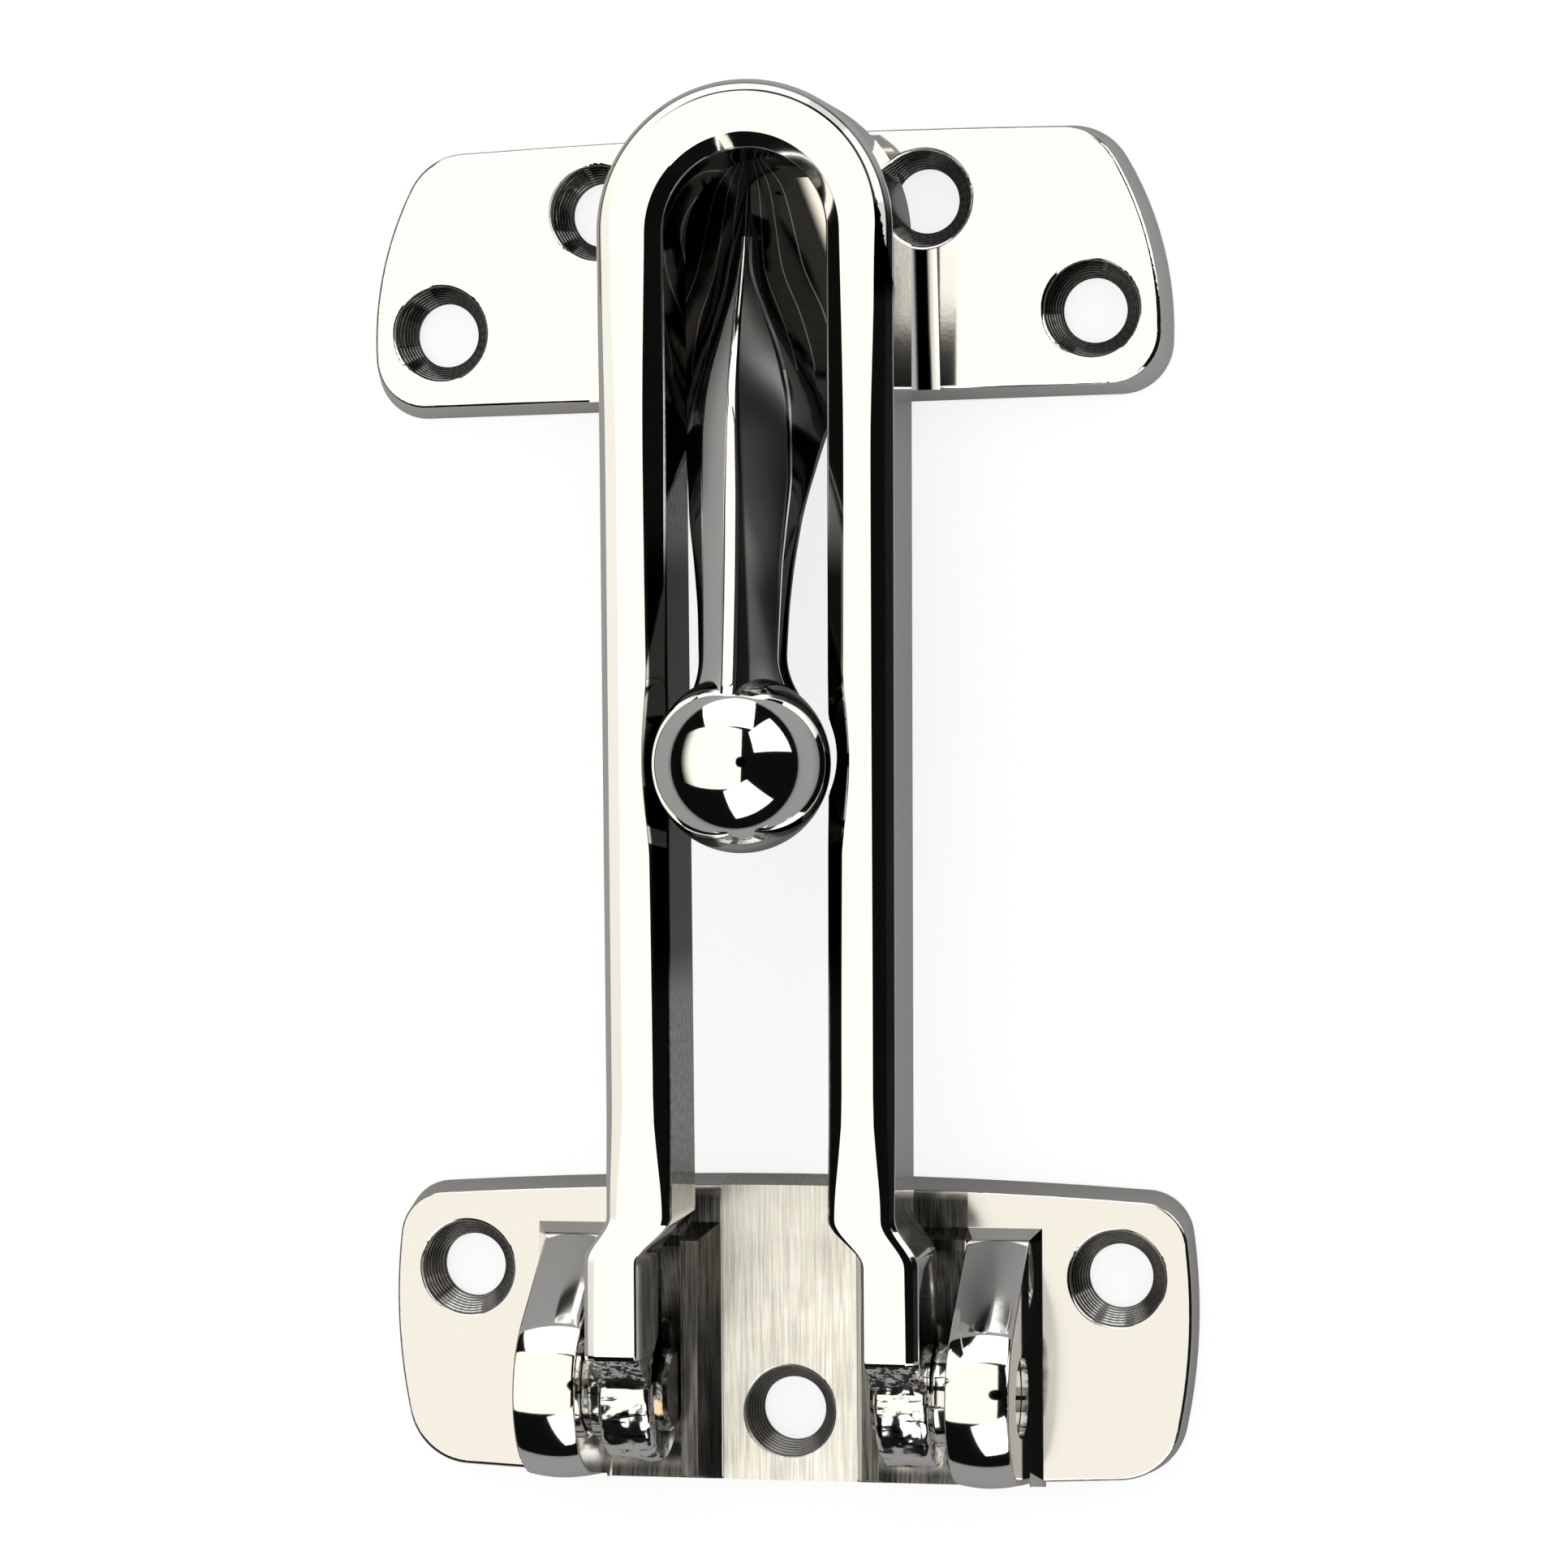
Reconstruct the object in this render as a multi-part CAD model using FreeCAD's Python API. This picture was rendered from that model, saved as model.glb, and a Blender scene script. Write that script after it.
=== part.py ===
import FreeCAD, Part
import math
import os

# Swing bar door guard. All sizes are in millimetres.
# X runs along the hinge pivot, Y runs up from the hinge plate to the ball plate and Z stands out
# from the door. The backs of both plates lie on Z = 0. The shapes are built with the pivot axis
# over Y = 0, and the last step moves them so that the origin is midway between the two outer
# screws of the hinge plate.

# Hinge plate
base_half_width = 35.2
base_top = 17.7
base_bottom = -8.8
base_crown_top = 1.2
base_crown_bottom = 1.0
base_thickness = 3.2
base_side_radius = 58.0
base_side_centre = 7.0
base_corner_top = 4.0
base_corner_bottom = 5.5
base_draft_side = 0.25
base_draft_top = 0.8
base_edge_round = 0.3

# Ball plate
ball_plate_half_width = 35.2
ball_plate_thickness = 3.2
ball_plate_rise = 16.3
ball_plate_drop = 7.15
ball_plate_crown = 0.5
ball_plate_side_radius = 30.0
ball_plate_corner_top = 5.5
ball_plate_corner_bottom = 4.5
ball_plate_draft = 0.75
ball_plate_edge_round = 0.4
ball_plate_twist_deg = 1.05

# Screw holes: two outer holes on each plate, one low centre hole on the hinge plate
# and a closer upper pair on the ball plate
screw_half_spacing = 28.575
screw_bore = 5.6
screw_rim = 8.8
screw_land = 0.8
screw_lip = 0.35
base_screw_height = 9.4
base_low_screw_height = -2.6
low_screw_rim = 8.4
upper_screw_half_spacing = 14.3
upper_screw_rise = 9.9

# Hinge lugs: outer ear, knuckle pocket and low inner wall
pivot_height = 8.9
ear_inner = 15.8
ear_thickness = 5.4
ear_radius = 7.7
ear_edge_round = 0.5
lug_top = 13.8
lug_pad_height = 1.6
lug_draft = 1.1
channel_half_width = 5.9
channel_depth = 0.3
wall_height = 4.2
wall_draft = 1.25
lug_end_draft = 0.3
wall_end_draft = 0.9
wall_outer = 8.6
pocket_floor = 2.3
pocket_mill_radius = 29.0

# Swing bar
bar_length = 110.2
bar_half_width = 12.55
bar_leg_width = 5.65
bar_splay_deg = 0.2
bar_rear = 9.9
bar_depth = 9.7
bar_flat_end = 3.9
bar_flat_end_slope = 3.0
jog_high = 15.9
jog_low = 12.0
knuckle_radius = 6.2
knuckle_inner = 9.6
knuckle_outer = 14.2
boss_radius = 4.3
boss_gap = 0.3
scallop_radius = 43.0
scallop_depth = 0.5

# Front bevels of the bar: width on the outer side and width on the slot side, at the arch,
# at two heights along the legs, and above and below the jog
bevel_arch = (0.85, 1.15)
bevel_widest = (1.35, 1.65)
bevel_lower = (1.35, 1.25)
bevel_jog = (1.0, 0.7)
bevel_knuckle = (0.95, 0.12)
bevel_widest_height = 80.0
bevel_lower_height = 24.0

# Pivot pins
pin_radius = 3.5
pin_running_gap = 0.06
pin_inner_stand = 0.85
pin_outer_recess = 0.6
pin_chamfer = 0.35

# Ball and swan-neck arm
ball_radius = 7.4
ball_reach = 53.7
ball_height = 21.0
ball_slot_gap = 0.3
ball_to_screws = 37.65
arm_lean = 1.1
mound_half_width = 15.4
mound_height = 3.8
mound_fillet = 5.0
mound_slope_deg = 43.0
mound_end_drop = 3.4

# Sections of the arm from its root on the plate to the ball: distance from the ball centre along Y,
# half width, shoulder half width, ridge height, shoulder height, side height and rear height
arm_sections = (
    (38.0, 5.9, 4.7, 13.4, 9.4, 7.2, 1.2),
    (34.4, 5.9, 4.6, 14.2, 9.8, 7.6, 1.2),
    (28.8, 5.35, 4.3, 16.6, 12.2, 9.6, 4.4),
    (23.0, 5.0, 3.9, 19.0, 15.0, 12.8, 9.4),
    (15.5, 4.2, 3.25, 22.0, 18.7, 17.0, 14.2),
    (8.0, 3.6, 2.8, 24.6, 21.8, 20.4, 17.4),
    (2.0, 3.6, 2.8, 24.9, 22.1, 20.8, 17.8),
)
ridge_flat = 0.35
ridge_crown = 0.5

# Sections of the flared root of the arm, which fans out on the mound: distance from the ball centre,
# ridge height, shoulder half width, shoulder height, foot half width, foot height and rear height
root_sections = (
    (50.6, 6.2, 1.6, 5.8, 3.2, 4.0, 1.6),
    (48.0, 9.0, 2.2, 7.9, 6.2, 3.4, 1.6),
    (45.0, 11.3, 2.8, 9.2, 8.2, 3.2, 1.6),
    (41.0, 12.6, 3.7, 9.7, 10.4, 3.2, 1.6),
    (36.0, 13.4, 4.5, 9.6, 12.0, 3.2, 1.6),
    (31.6, 13.4, 4.7, 9.2, 11.6, 3.2, 1.6),
    (29.2, 12.4, 4.6, 8.6, 8.4, 3.6, 2.4),
    (26.8, 11.6, 4.3, 8.4, 6.3, 5.2, 4.6),
    (24.2, 11.2, 3.8, 9.8, 4.6, 9.0, 8.7),
)

# Places that follow from the dimensions above
bar_front = bar_rear + bar_depth
bar_centre = bar_length - bar_half_width
slot_half_width = bar_half_width - bar_leg_width
screw_line = ball_reach + ball_to_screws
bevel_at_ball = bevel_widest[1]
ball_plate_top = screw_line + ball_plate_rise
ball_plate_bottom = screw_line - ball_plate_drop
ear_outer = ear_inner + ear_thickness
mound_top = ball_plate_thickness + mound_height
UP = FreeCAD.Vector(0, 0, 1)
ALONG_PIVOT = FreeCAD.Vector(1, 0, 0)


def point(x, y, z=0.0):
    return FreeCAD.Vector(x, y, z)


def line(a, b):
    return Part.LineSegment(a, b).toShape()


def arc(a, b, c):
    return Part.Arc(a, b, c).toShape()


def polygon(points):
    return Part.Wire(Part.makePolygon(points + [points[0]]))


def mirrored(shape):
    return shape.mirror(point(0, 0), ALONG_PIVOT)


def box_between(x0, x1, y0, y1, z0, z1):
    return Part.makeBox(x1 - x0, y1 - y0, z1 - z0, point(x0, y0, z0))


def cylinder_along_pivot(radius, x0, x1, y, z):
    return Part.makeCylinder(radius, x1 - x0, point(x0, y, z), ALONG_PIVOT)


def extrude_across(profile, x0, x1):
    """Extrude a closed wire of the YZ plane from x0 to x1."""
    face = Part.Face(profile)
    face.translate(point(x0, 0))
    return face.extrude(point(x1 - x0, 0))


def side_x(half_width, radius, centre, y):
    """Half width at height y of a plate whose sides bulge on a large radius."""
    return half_width - radius + math.sqrt(radius ** 2 - (y - centre) ** 2)


def plate_outline(half_width, radius, centre, ends, crowns, corners, z):
    """Outline with bulged sides, crowned ends and rounded corners, at height z."""
    bottom, top = ends
    xb = side_x(half_width, radius, centre, bottom)
    xt = side_x(half_width, radius, centre, top)
    low = bottom + crowns[0]
    high = top - crowns[1]
    right = arc(point(xb, low, z), point(half_width, centre, z), point(xt, high, z))
    left = arc(point(-xt, high, z), point(-half_width, centre, z), point(-xb, low, z))
    upper = end_edge(xt, high, top, z)
    lower = end_edge(-xb, low, bottom, z)
    slab = Part.Face(Part.Wire([right, upper, left, lower])).extrude(UP)
    for corner, end_y in ((corners[0], low), (corners[1], high)):
        standing = [
            e for e in slab.Edges
            if e.BoundBox.ZLength > 0.5 and abs(e.CenterOfMass.y - end_y) < 1e-3
        ]
        slab = slab.makeFillet(corner, standing)
    floor = min(slab.Faces, key=lambda f: f.CenterOfMass.z)
    return floor.OuterWire


def end_edge(x, y_corner, y_middle, z):
    """Edge across the plate from x to -x, crowned where its middle stands out."""
    if abs(y_corner - y_middle) < 1e-6:
        return line(point(x, y_corner, z), point(-x, y_corner, z))
    return arc(point(x, y_corner, z), point(0, y_middle, z), point(-x, y_corner, z))


def round_front_edge(plate, thickness, radius):
    rim = [
        e for e in plate.Edges
        if e.BoundBox.ZMin > thickness - 1e-3
    ]
    return plate.makeFillet(radius, rim)


def screw_hole(x, y, face, rim, floor=0.0, above=0.0):
    """Cutter for a countersunk hole with a land below and a rounded lip at the face."""
    bore_r = screw_bore / 2
    rim_r = rim / 2
    lip_r = rim_r - screw_lip
    corner = point(lip_r, 0, face - screw_lip)
    bend = screw_lip * math.sqrt(0.5)
    middle = point(rim_r - bend, 0, face - screw_lip + bend)
    edges = [
        line(point(0, 0, floor - 1), point(bore_r, 0, floor - 1)),
        line(point(bore_r, 0, floor - 1), point(bore_r, 0, floor + screw_land)),
        line(point(bore_r, 0, floor + screw_land), corner),
        arc(corner, middle, point(rim_r, 0, face)),
        line(point(rim_r, 0, face), point(rim_r, 0, face + 0.5 + above)),
        line(point(rim_r, 0, face + 0.5 + above), point(0, 0, face + 0.5 + above)),
        line(point(0, 0, face + 0.5 + above), point(0, 0, floor - 1)),
    ]
    cutter = Part.Face(Part.Wire(edges)).revolve(point(0, 0), UP, 360)
    cutter.translate(point(x, y))
    return cutter


def touch_angle(y, z):
    """Angle at which a line from a point of the YZ plane touches the round of the ear."""
    reach = math.hypot(y, z - pivot_height)
    return math.atan2(z - pivot_height, y), math.acos(ear_radius / reach)


def ear_profile():
    """Side outline of the ear: steep ramp, round top about the pivot and drafted lower end."""
    ramp_y = lug_top - lug_draft
    ramp_z = base_thickness + lug_pad_height
    foot_y = base_bottom + base_draft_side
    towards, spread = touch_angle(ramp_y, ramp_z)
    start = towards + spread
    towards, spread = touch_angle(foot_y, base_thickness)
    end = towards + 2 * math.pi - spread

    def on_round(angle):
        return point(0, ear_radius * math.cos(angle), pivot_height + ear_radius * math.sin(angle))

    inside = base_thickness / 2
    corners = [
        on_round(end),
        point(0, foot_y, base_thickness),
        point(0, foot_y, inside),
        point(0, ramp_y, inside),
        point(0, ramp_y, ramp_z),
        on_round(start),
    ]
    edges = [line(a, b) for a, b in zip(corners, corners[1:])]
    edges.append(arc(on_round(start), on_round((start + end) / 2), on_round(end)))
    return Part.Wire(edges)


def tapered_block(foot, top, z0, z1):
    """Cast block between two rectangles given as x0, x1, y0, y1."""
    wires = []
    for (x0, x1, y0, y1), z in ((foot, z0), (top, z1)):
        wires.append(polygon([point(x0, y0, z), point(x1, y0, z), point(x1, y1, z), point(x0, y1, z)]))
    return Part.makeLoft(wires, True, True)


def right_lug():
    ear = extrude_across(ear_profile(), ear_inner, ear_outer)
    crown = [
        e for e in ear.Edges
        if e.BoundBox.XLength < 1e-6 and e.BoundBox.ZMax > base_thickness + lug_pad_height + 0.5
        and e.BoundBox.ZMin > base_thickness
    ]
    ear = ear.makeFillet(ear_edge_round, crown)
    end_y = base_bottom + base_draft_side
    pad = tapered_block(
        (channel_half_width, ear_outer + lug_draft, end_y, lug_top),
        (channel_half_width + lug_draft, ear_outer, end_y + lug_end_draft, lug_top - lug_draft),
        base_thickness - channel_depth,
        base_thickness + lug_pad_height,
    )
    wall = tapered_block(
        (channel_half_width, wall_outer, end_y, lug_top),
        (channel_half_width + wall_draft, wall_outer, end_y + wall_end_draft, lug_top - wall_draft),
        base_thickness - channel_depth,
        base_thickness + wall_height,
    )
    return ear.fuse([pad, wall])


def pocket_cut():
    """Milled pocket that the knuckle turns in, the arc of a wide milling cutter."""
    return cylinder_along_pivot(
        pocket_mill_radius, wall_outer, ear_inner, 0, pocket_floor + pocket_mill_radius
    )


def make_base_plate():
    crowns = (base_crown_bottom, base_crown_top)
    corners = (base_corner_bottom, base_corner_top)
    back = plate_outline(
        base_half_width, base_side_radius, base_side_centre,
        (base_bottom, base_top), crowns, corners, 0,
    )
    front = plate_outline(
        base_half_width - base_draft_side, base_side_radius, base_side_centre,
        (base_bottom + base_draft_side, base_top - base_draft_top), crowns, corners, base_thickness,
    )
    plate = Part.makeLoft([back, front], True, True)
    plate = round_front_edge(plate, base_thickness, base_edge_round)
    lug = right_lug()
    plate = plate.fuse([lug, mirrored(lug)])
    channel = box_between(
        -channel_half_width, channel_half_width, base_bottom - 1, base_top + 1,
        base_thickness - channel_depth, base_thickness + 1,
    )
    pocket = pocket_cut()
    bore = cylinder_along_pivot(pin_radius, ear_inner - 1, ear_outer + 2, 0, pivot_height)
    cutters = [channel, pocket, mirrored(pocket), bore, mirrored(bore)]
    for x in (-screw_half_spacing, screw_half_spacing):
        cutters.append(screw_hole(x, base_screw_height, base_thickness, screw_rim))
    floor = base_thickness - channel_depth
    cutters.append(screw_hole(0, base_low_screw_height, floor, low_screw_rim))
    return plate.cut(cutters)


def s_curve(start, end):
    """Smooth jog from start down to end, leaving both along the leg."""
    middle = (start.y + end.y) / 2
    curve = Part.BezierCurve()
    curve.setPoles([start, point(start.x, middle, start.z), point(end.x, middle, end.z), end])
    return curve.toShape()


def leg_x(radius, low_x, y):
    """Leg edge at height y: tangent to the arch, with a slight splay, and jogged at the knuckle."""
    if y <= jog_low:
        return low_x
    lean = math.radians(bar_splay_deg)
    return radius / math.cos(lean) - (bar_centre - y) * math.tan(lean)


def bar_wire(radius, low_x, side, foot, level):
    """Closed front outline of one side of the bar (0 outer, 1 slot) closed across at the foot.

    The level is rear for the back outline, edge for the foot of the bevel and face for the front.
    The edge outline stands lower where the bevel is wider."""
    inward = (-1, 1)[side]
    stations = (
        (bar_centre, bevel_arch),
        (bevel_widest_height, bevel_widest),
        (bevel_lower_height, bevel_lower),
        (jog_high, bevel_jog),
        (jog_low, bevel_knuckle),
    )
    points = []
    for y, widths in stations:
        width = widths[side]
        x = leg_x(radius, low_x, y)
        z = {"rear": bar_rear, "edge": bar_front - width, "face": bar_front}[level]
        if level == "face":
            x += inward * width
        points.append(point(x, y, z))
    last = points[-1]
    points.append(point(last.x, foot, last.z))
    crest = point(0, bar_centre + points[0].x, points[0].z)
    edges = [
        line(points[0], points[1]),
        line(points[1], points[2]),
        line(points[2], points[3]),
        s_curve(points[3], points[4]),
        line(points[4], points[5]),
    ]
    mirror_points = [point(-q.x, q.y, q.z) for q in points]
    far = [
        line(mirror_points[5], mirror_points[4]),
        s_curve(mirror_points[3], mirror_points[4]),
        line(mirror_points[3], mirror_points[2]),
        line(mirror_points[2], mirror_points[1]),
        line(mirror_points[1], mirror_points[0]),
    ]
    base = [line(points[5], mirror_points[5])]
    top = [arc(mirror_points[0], crest, points[0])]
    return Part.Wire(edges + base + far + top)


def bar_body(radius, low_x, side, foot):
    wires = [bar_wire(radius, low_x, side, foot, level) for level in ("rear", "edge", "face")]
    return Part.makeLoft(wires, True, True)


def bar_side_profile():
    """Side outline of the bar: full depth, with the flat front ending above the knuckle."""
    top = bar_length + 1
    slope_y = bar_flat_end - bar_flat_end_slope
    slope_z = pivot_height + math.sqrt(knuckle_radius ** 2 - slope_y ** 2)
    return polygon([
        point(0, slope_y, bar_rear),
        point(0, top, bar_rear),
        point(0, top, bar_front),
        point(0, bar_flat_end, bar_front),
        point(0, slope_y, slope_z),
    ])


def bar_knuckle():
    barrel = cylinder_along_pivot(knuckle_radius, knuckle_inner, knuckle_outer, 0, pivot_height)
    boss = cylinder_along_pivot(boss_radius, knuckle_outer - 1, ear_inner - boss_gap, 0, pivot_height)
    return barrel.fuse(boss)


def scallop_cone():
    """Shallow widening of one front bevel where the ball passes."""
    face_x = leg_x(slot_half_width, knuckle_inner, ball_reach) + bevel_at_ball + scallop_depth
    run = bevel_at_ball + scallop_depth
    cone = Part.makeCone(scallop_radius - run, scallop_radius, run, point(0, 0), UP)
    cone.translate(point(face_x - scallop_radius, ball_reach, bar_front - run))
    keep = box_between(0, bar_half_width, ball_reach - 20, ball_reach + 20, bar_rear, bar_front + 1)
    return cone.common(keep)


def make_swing_bar():
    bar = bar_body(bar_half_width, knuckle_outer, 0, 0)
    slot = bar_body(slot_half_width, knuckle_inner, 1, -1)
    bar = bar.cut(slot)
    side = extrude_across(bar_side_profile(), -2 * bar_half_width, 2 * bar_half_width)
    bar = bar.common(side)
    knuckle = bar_knuckle()
    bar = bar.fuse([knuckle, mirrored(knuckle)])
    ball_path = Part.makeTorus(
        math.hypot(ball_reach, ball_height - pivot_height), ball_radius + ball_slot_gap,
        point(0, 0, pivot_height), ALONG_PIVOT,
    )
    scallop = scallop_cone()
    bore = cylinder_along_pivot(
        pin_radius + pin_running_gap, -ear_inner, ear_inner, 0, pivot_height
    )
    for cutter in (ball_path, scallop, mirrored(scallop), bore):
        bar = bar.cut(cutter)
    return bar


def make_pivot_pin():
    """Right pin, pressed in the ear, with its inner end standing proud of the knuckle."""
    inner = knuckle_inner - pin_inner_stand
    outer = ear_outer - pin_outer_recess
    pin = cylinder_along_pivot(pin_radius, inner, outer, 0, pivot_height)
    rims = [e for e in pin.Edges if e.BoundBox.XLength < 1e-6]
    return pin.makeChamfer(pin_chamfer, rims)


def lean_at(distance):
    """Sideways offset of the arm, from none at the ball to the whole lean at the screw line."""
    return -arm_lean * min(1.0, distance / ball_to_screws) ** 6


def crowned(shoulder, shoulder_z, ridge):
    """Point between the ridge and the shoulder, which stands proud of the line between them."""
    return (
        0.45 * shoulder + 0.55 * ridge_flat,
        0.45 * shoulder_z + 0.55 * ridge + ridge_crown,
    )


def arm_section(distance, half, shoulder, ridge, shoulder_z, side_z, rear):
    y = ball_reach + distance
    lean = lean_at(distance)
    right = [
        (ridge_flat, ridge),
        crowned(shoulder, shoulder_z, ridge),
        (shoulder, shoulder_z),
        (half, shoulder_z - 0.9 * (half - shoulder)),
        (half, side_z - 0.5 * (half - shoulder)),
        (0.6 * half, rear),
    ]
    points = [point(lean + x, y, z) for x, z in right]
    points += [point(lean - x, y, z) for x, z in reversed(right)]
    return polygon(points)


def root_section(distance, ridge, shoulder, shoulder_z, foot, foot_z, rear):
    y = ball_reach + distance
    lean = lean_at(distance)
    right = [(ridge_flat, ridge), (shoulder, shoulder_z), (foot, foot_z), (foot, rear)]
    points = [point(lean + x, y, z) for x, z in right]
    points += [point(lean - x, y, z) for x, z in reversed(right)]
    return polygon(points)


def mound():
    """Raised root under the bar: a ridge along Y with concave feet on the plate."""
    slope = math.radians(mound_slope_deg)
    inside = ball_plate_thickness / 2
    face = ball_plate_thickness
    end_x = mound_half_width - mound_fillet * math.sin(slope)
    end_z = face + mound_fillet * (1 - math.cos(slope))
    mid_x = mound_half_width - mound_fillet * math.sin(slope / 2)
    mid_z = face + mound_fillet * (1 - math.cos(slope / 2))
    top_x = end_x - (mound_top - end_z) / math.tan(slope)
    right = [
        line(point(mound_half_width, 0, inside), point(mound_half_width, 0, face)),
        arc(point(mound_half_width, 0, face), point(mid_x, 0, mid_z), point(end_x, 0, end_z)),
        line(point(end_x, 0, end_z), point(top_x, 0, mound_top)),
    ]
    ends = [
        line(point(-top_x, 0, mound_top), point(top_x, 0, mound_top)),
        line(point(mound_half_width, 0, inside), point(-mound_half_width, 0, inside)),
    ]
    profile = Part.Wire(Part.sortEdges(right + [mirrored(e) for e in right] + ends)[0])
    face_area = Part.Face(profile)
    low = ball_plate_bottom + ball_plate_draft
    high = ball_plate_top - mound_end_drop
    face_area.translate(point(0, low, 0))
    ridge = face_area.extrude(point(0, high - low, 0))
    run = mound_top - inside
    wedge = polygon([
        point(0, high + 1, inside),
        point(0, high + 1, mound_top + 1),
        point(0, high - run - 1, mound_top + 1),
        point(0, high, inside),
    ])
    return ridge.cut(extrude_across(wedge, -mound_half_width - 1, mound_half_width + 1))


def make_ball_plate():
    crowns = (0, ball_plate_crown)
    corners = (ball_plate_corner_bottom, ball_plate_corner_top)
    back = plate_outline(
        ball_plate_half_width, ball_plate_side_radius, screw_line - 1,
        (ball_plate_bottom, ball_plate_top), crowns, corners, 0,
    )
    front = plate_outline(
        ball_plate_half_width - ball_plate_draft, ball_plate_side_radius, screw_line - 1,
        (ball_plate_bottom + ball_plate_draft, ball_plate_top - ball_plate_draft / 2),
        crowns, corners, ball_plate_thickness,
    )
    plate = Part.makeLoft([back, front], True, True)
    plate = round_front_edge(plate, ball_plate_thickness, ball_plate_edge_round)
    body = plate.fuse(mound())
    cutters = []
    for side in (-1, 1):
        cutters.append(
            screw_hole(side * screw_half_spacing, screw_line, ball_plate_thickness, screw_rim)
        )
        cutters.append(screw_hole(
            side * upper_screw_half_spacing, screw_line + upper_screw_rise,
            ball_plate_thickness, screw_rim, above=mound_top,
        ))
    body.translate(point(-arm_lean, 0))
    for cutter in cutters:
        cutter.translate(point(-arm_lean, 0))
    arm = Part.makeLoft([arm_section(*row) for row in arm_sections], True, False)
    root = Part.makeLoft([root_section(*row) for row in root_sections], True, False)
    ball = Part.makeSphere(ball_radius, point(0, ball_reach, ball_height))
    body = body.fuse([root, arm, ball]).cut(cutters)
    body.rotate(point(0, ball_reach), UP, ball_plate_twist_deg)
    return body


def solid_of(shape):
    """Refined single solid of a Boolean result."""
    shape = shape.removeSplitter()
    solids = sorted(shape.Solids, key=lambda s: s.Volume)
    return solids[-1]


def main():
    pin = make_pivot_pin()
    nodes = {
        "base_plate": solid_of(make_base_plate()),
        "swing_bar": solid_of(make_swing_bar()),
        "pivot_pin_right": pin,
        "pivot_pin_left": mirrored(pin),
        "ball_plate": solid_of(make_ball_plate()),
    }
    os.makedirs("parts", exist_ok=True)
    for name, shape in nodes.items():
        shape.translate(point(0, -base_screw_height))
        shape.exportStep(os.path.join("parts", name + ".step"))


main()
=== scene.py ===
import math

import bmesh
import bpy
from bpy.props import FloatProperty, FloatVectorProperty, PointerProperty
from bpy.types import Operator, Panel, PropertyGroup
from mathutils import Matrix, Vector, noise


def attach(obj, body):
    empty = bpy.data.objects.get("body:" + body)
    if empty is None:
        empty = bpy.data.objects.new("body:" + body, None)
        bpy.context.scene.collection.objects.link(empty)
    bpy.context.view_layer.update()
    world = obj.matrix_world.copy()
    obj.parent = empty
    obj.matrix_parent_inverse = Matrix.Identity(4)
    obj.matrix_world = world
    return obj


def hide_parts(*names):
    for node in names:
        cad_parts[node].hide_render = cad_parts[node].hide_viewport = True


bl_info = {
    "name": "Swing bar door guard",
    "version": (1, 0, 0),
    "blender": (4, 5, 0),
    "location": "3D View > Sidebar > Door guard",
    "description": "Finishes the loaded door guard in polished nickel and sets it on a pale studio floor",
    "category": "Object",
}

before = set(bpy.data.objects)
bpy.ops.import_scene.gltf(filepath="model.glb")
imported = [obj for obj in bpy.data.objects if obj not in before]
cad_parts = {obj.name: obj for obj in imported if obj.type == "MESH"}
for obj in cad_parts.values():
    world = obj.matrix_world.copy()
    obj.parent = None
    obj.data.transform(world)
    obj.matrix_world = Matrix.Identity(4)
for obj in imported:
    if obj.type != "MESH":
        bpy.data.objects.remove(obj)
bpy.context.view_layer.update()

MM = 0.001
BALL = Vector((0, 44.3, 21.0)) * MM

# The view of the photograph: its side, focal length and optical centre in pixels, and the camera's place.
PHOTO_SIDE = 1932
FOCAL_LENGTH = 6000
OPTICAL_CENTRE = (1032.7, 960.4)
CAMERA_PLACE = Vector((85.1, 52.0, 413.1)) * MM
YAW = math.radians(11.106)
PITCH = math.radians(1.295)
ROLL = math.radians(-0.365)

WHITE = (1, 1, 1)
# Painted dark: the black below is painted over shade and dark reflections, and the dark grey is painted
# shade on the knuckles and pins as well as the pins' mottle.
BLACK = (0.02, 0.02, 0.018)
MOTTLE_AND_SHADE = (0.05, 0.05, 0.047)


def length(name, text, value):
    return FloatProperty(name=name, description=text, default=value * MM, unit="LENGTH", precision=5)


def angle(name, text, value):
    return FloatProperty(name=name, description=text, default=math.radians(value), subtype="ANGLE")


def colour(name, text, value):
    return FloatVectorProperty(name=name, description=text, default=value, subtype="COLOR", min=0, max=1)


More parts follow.
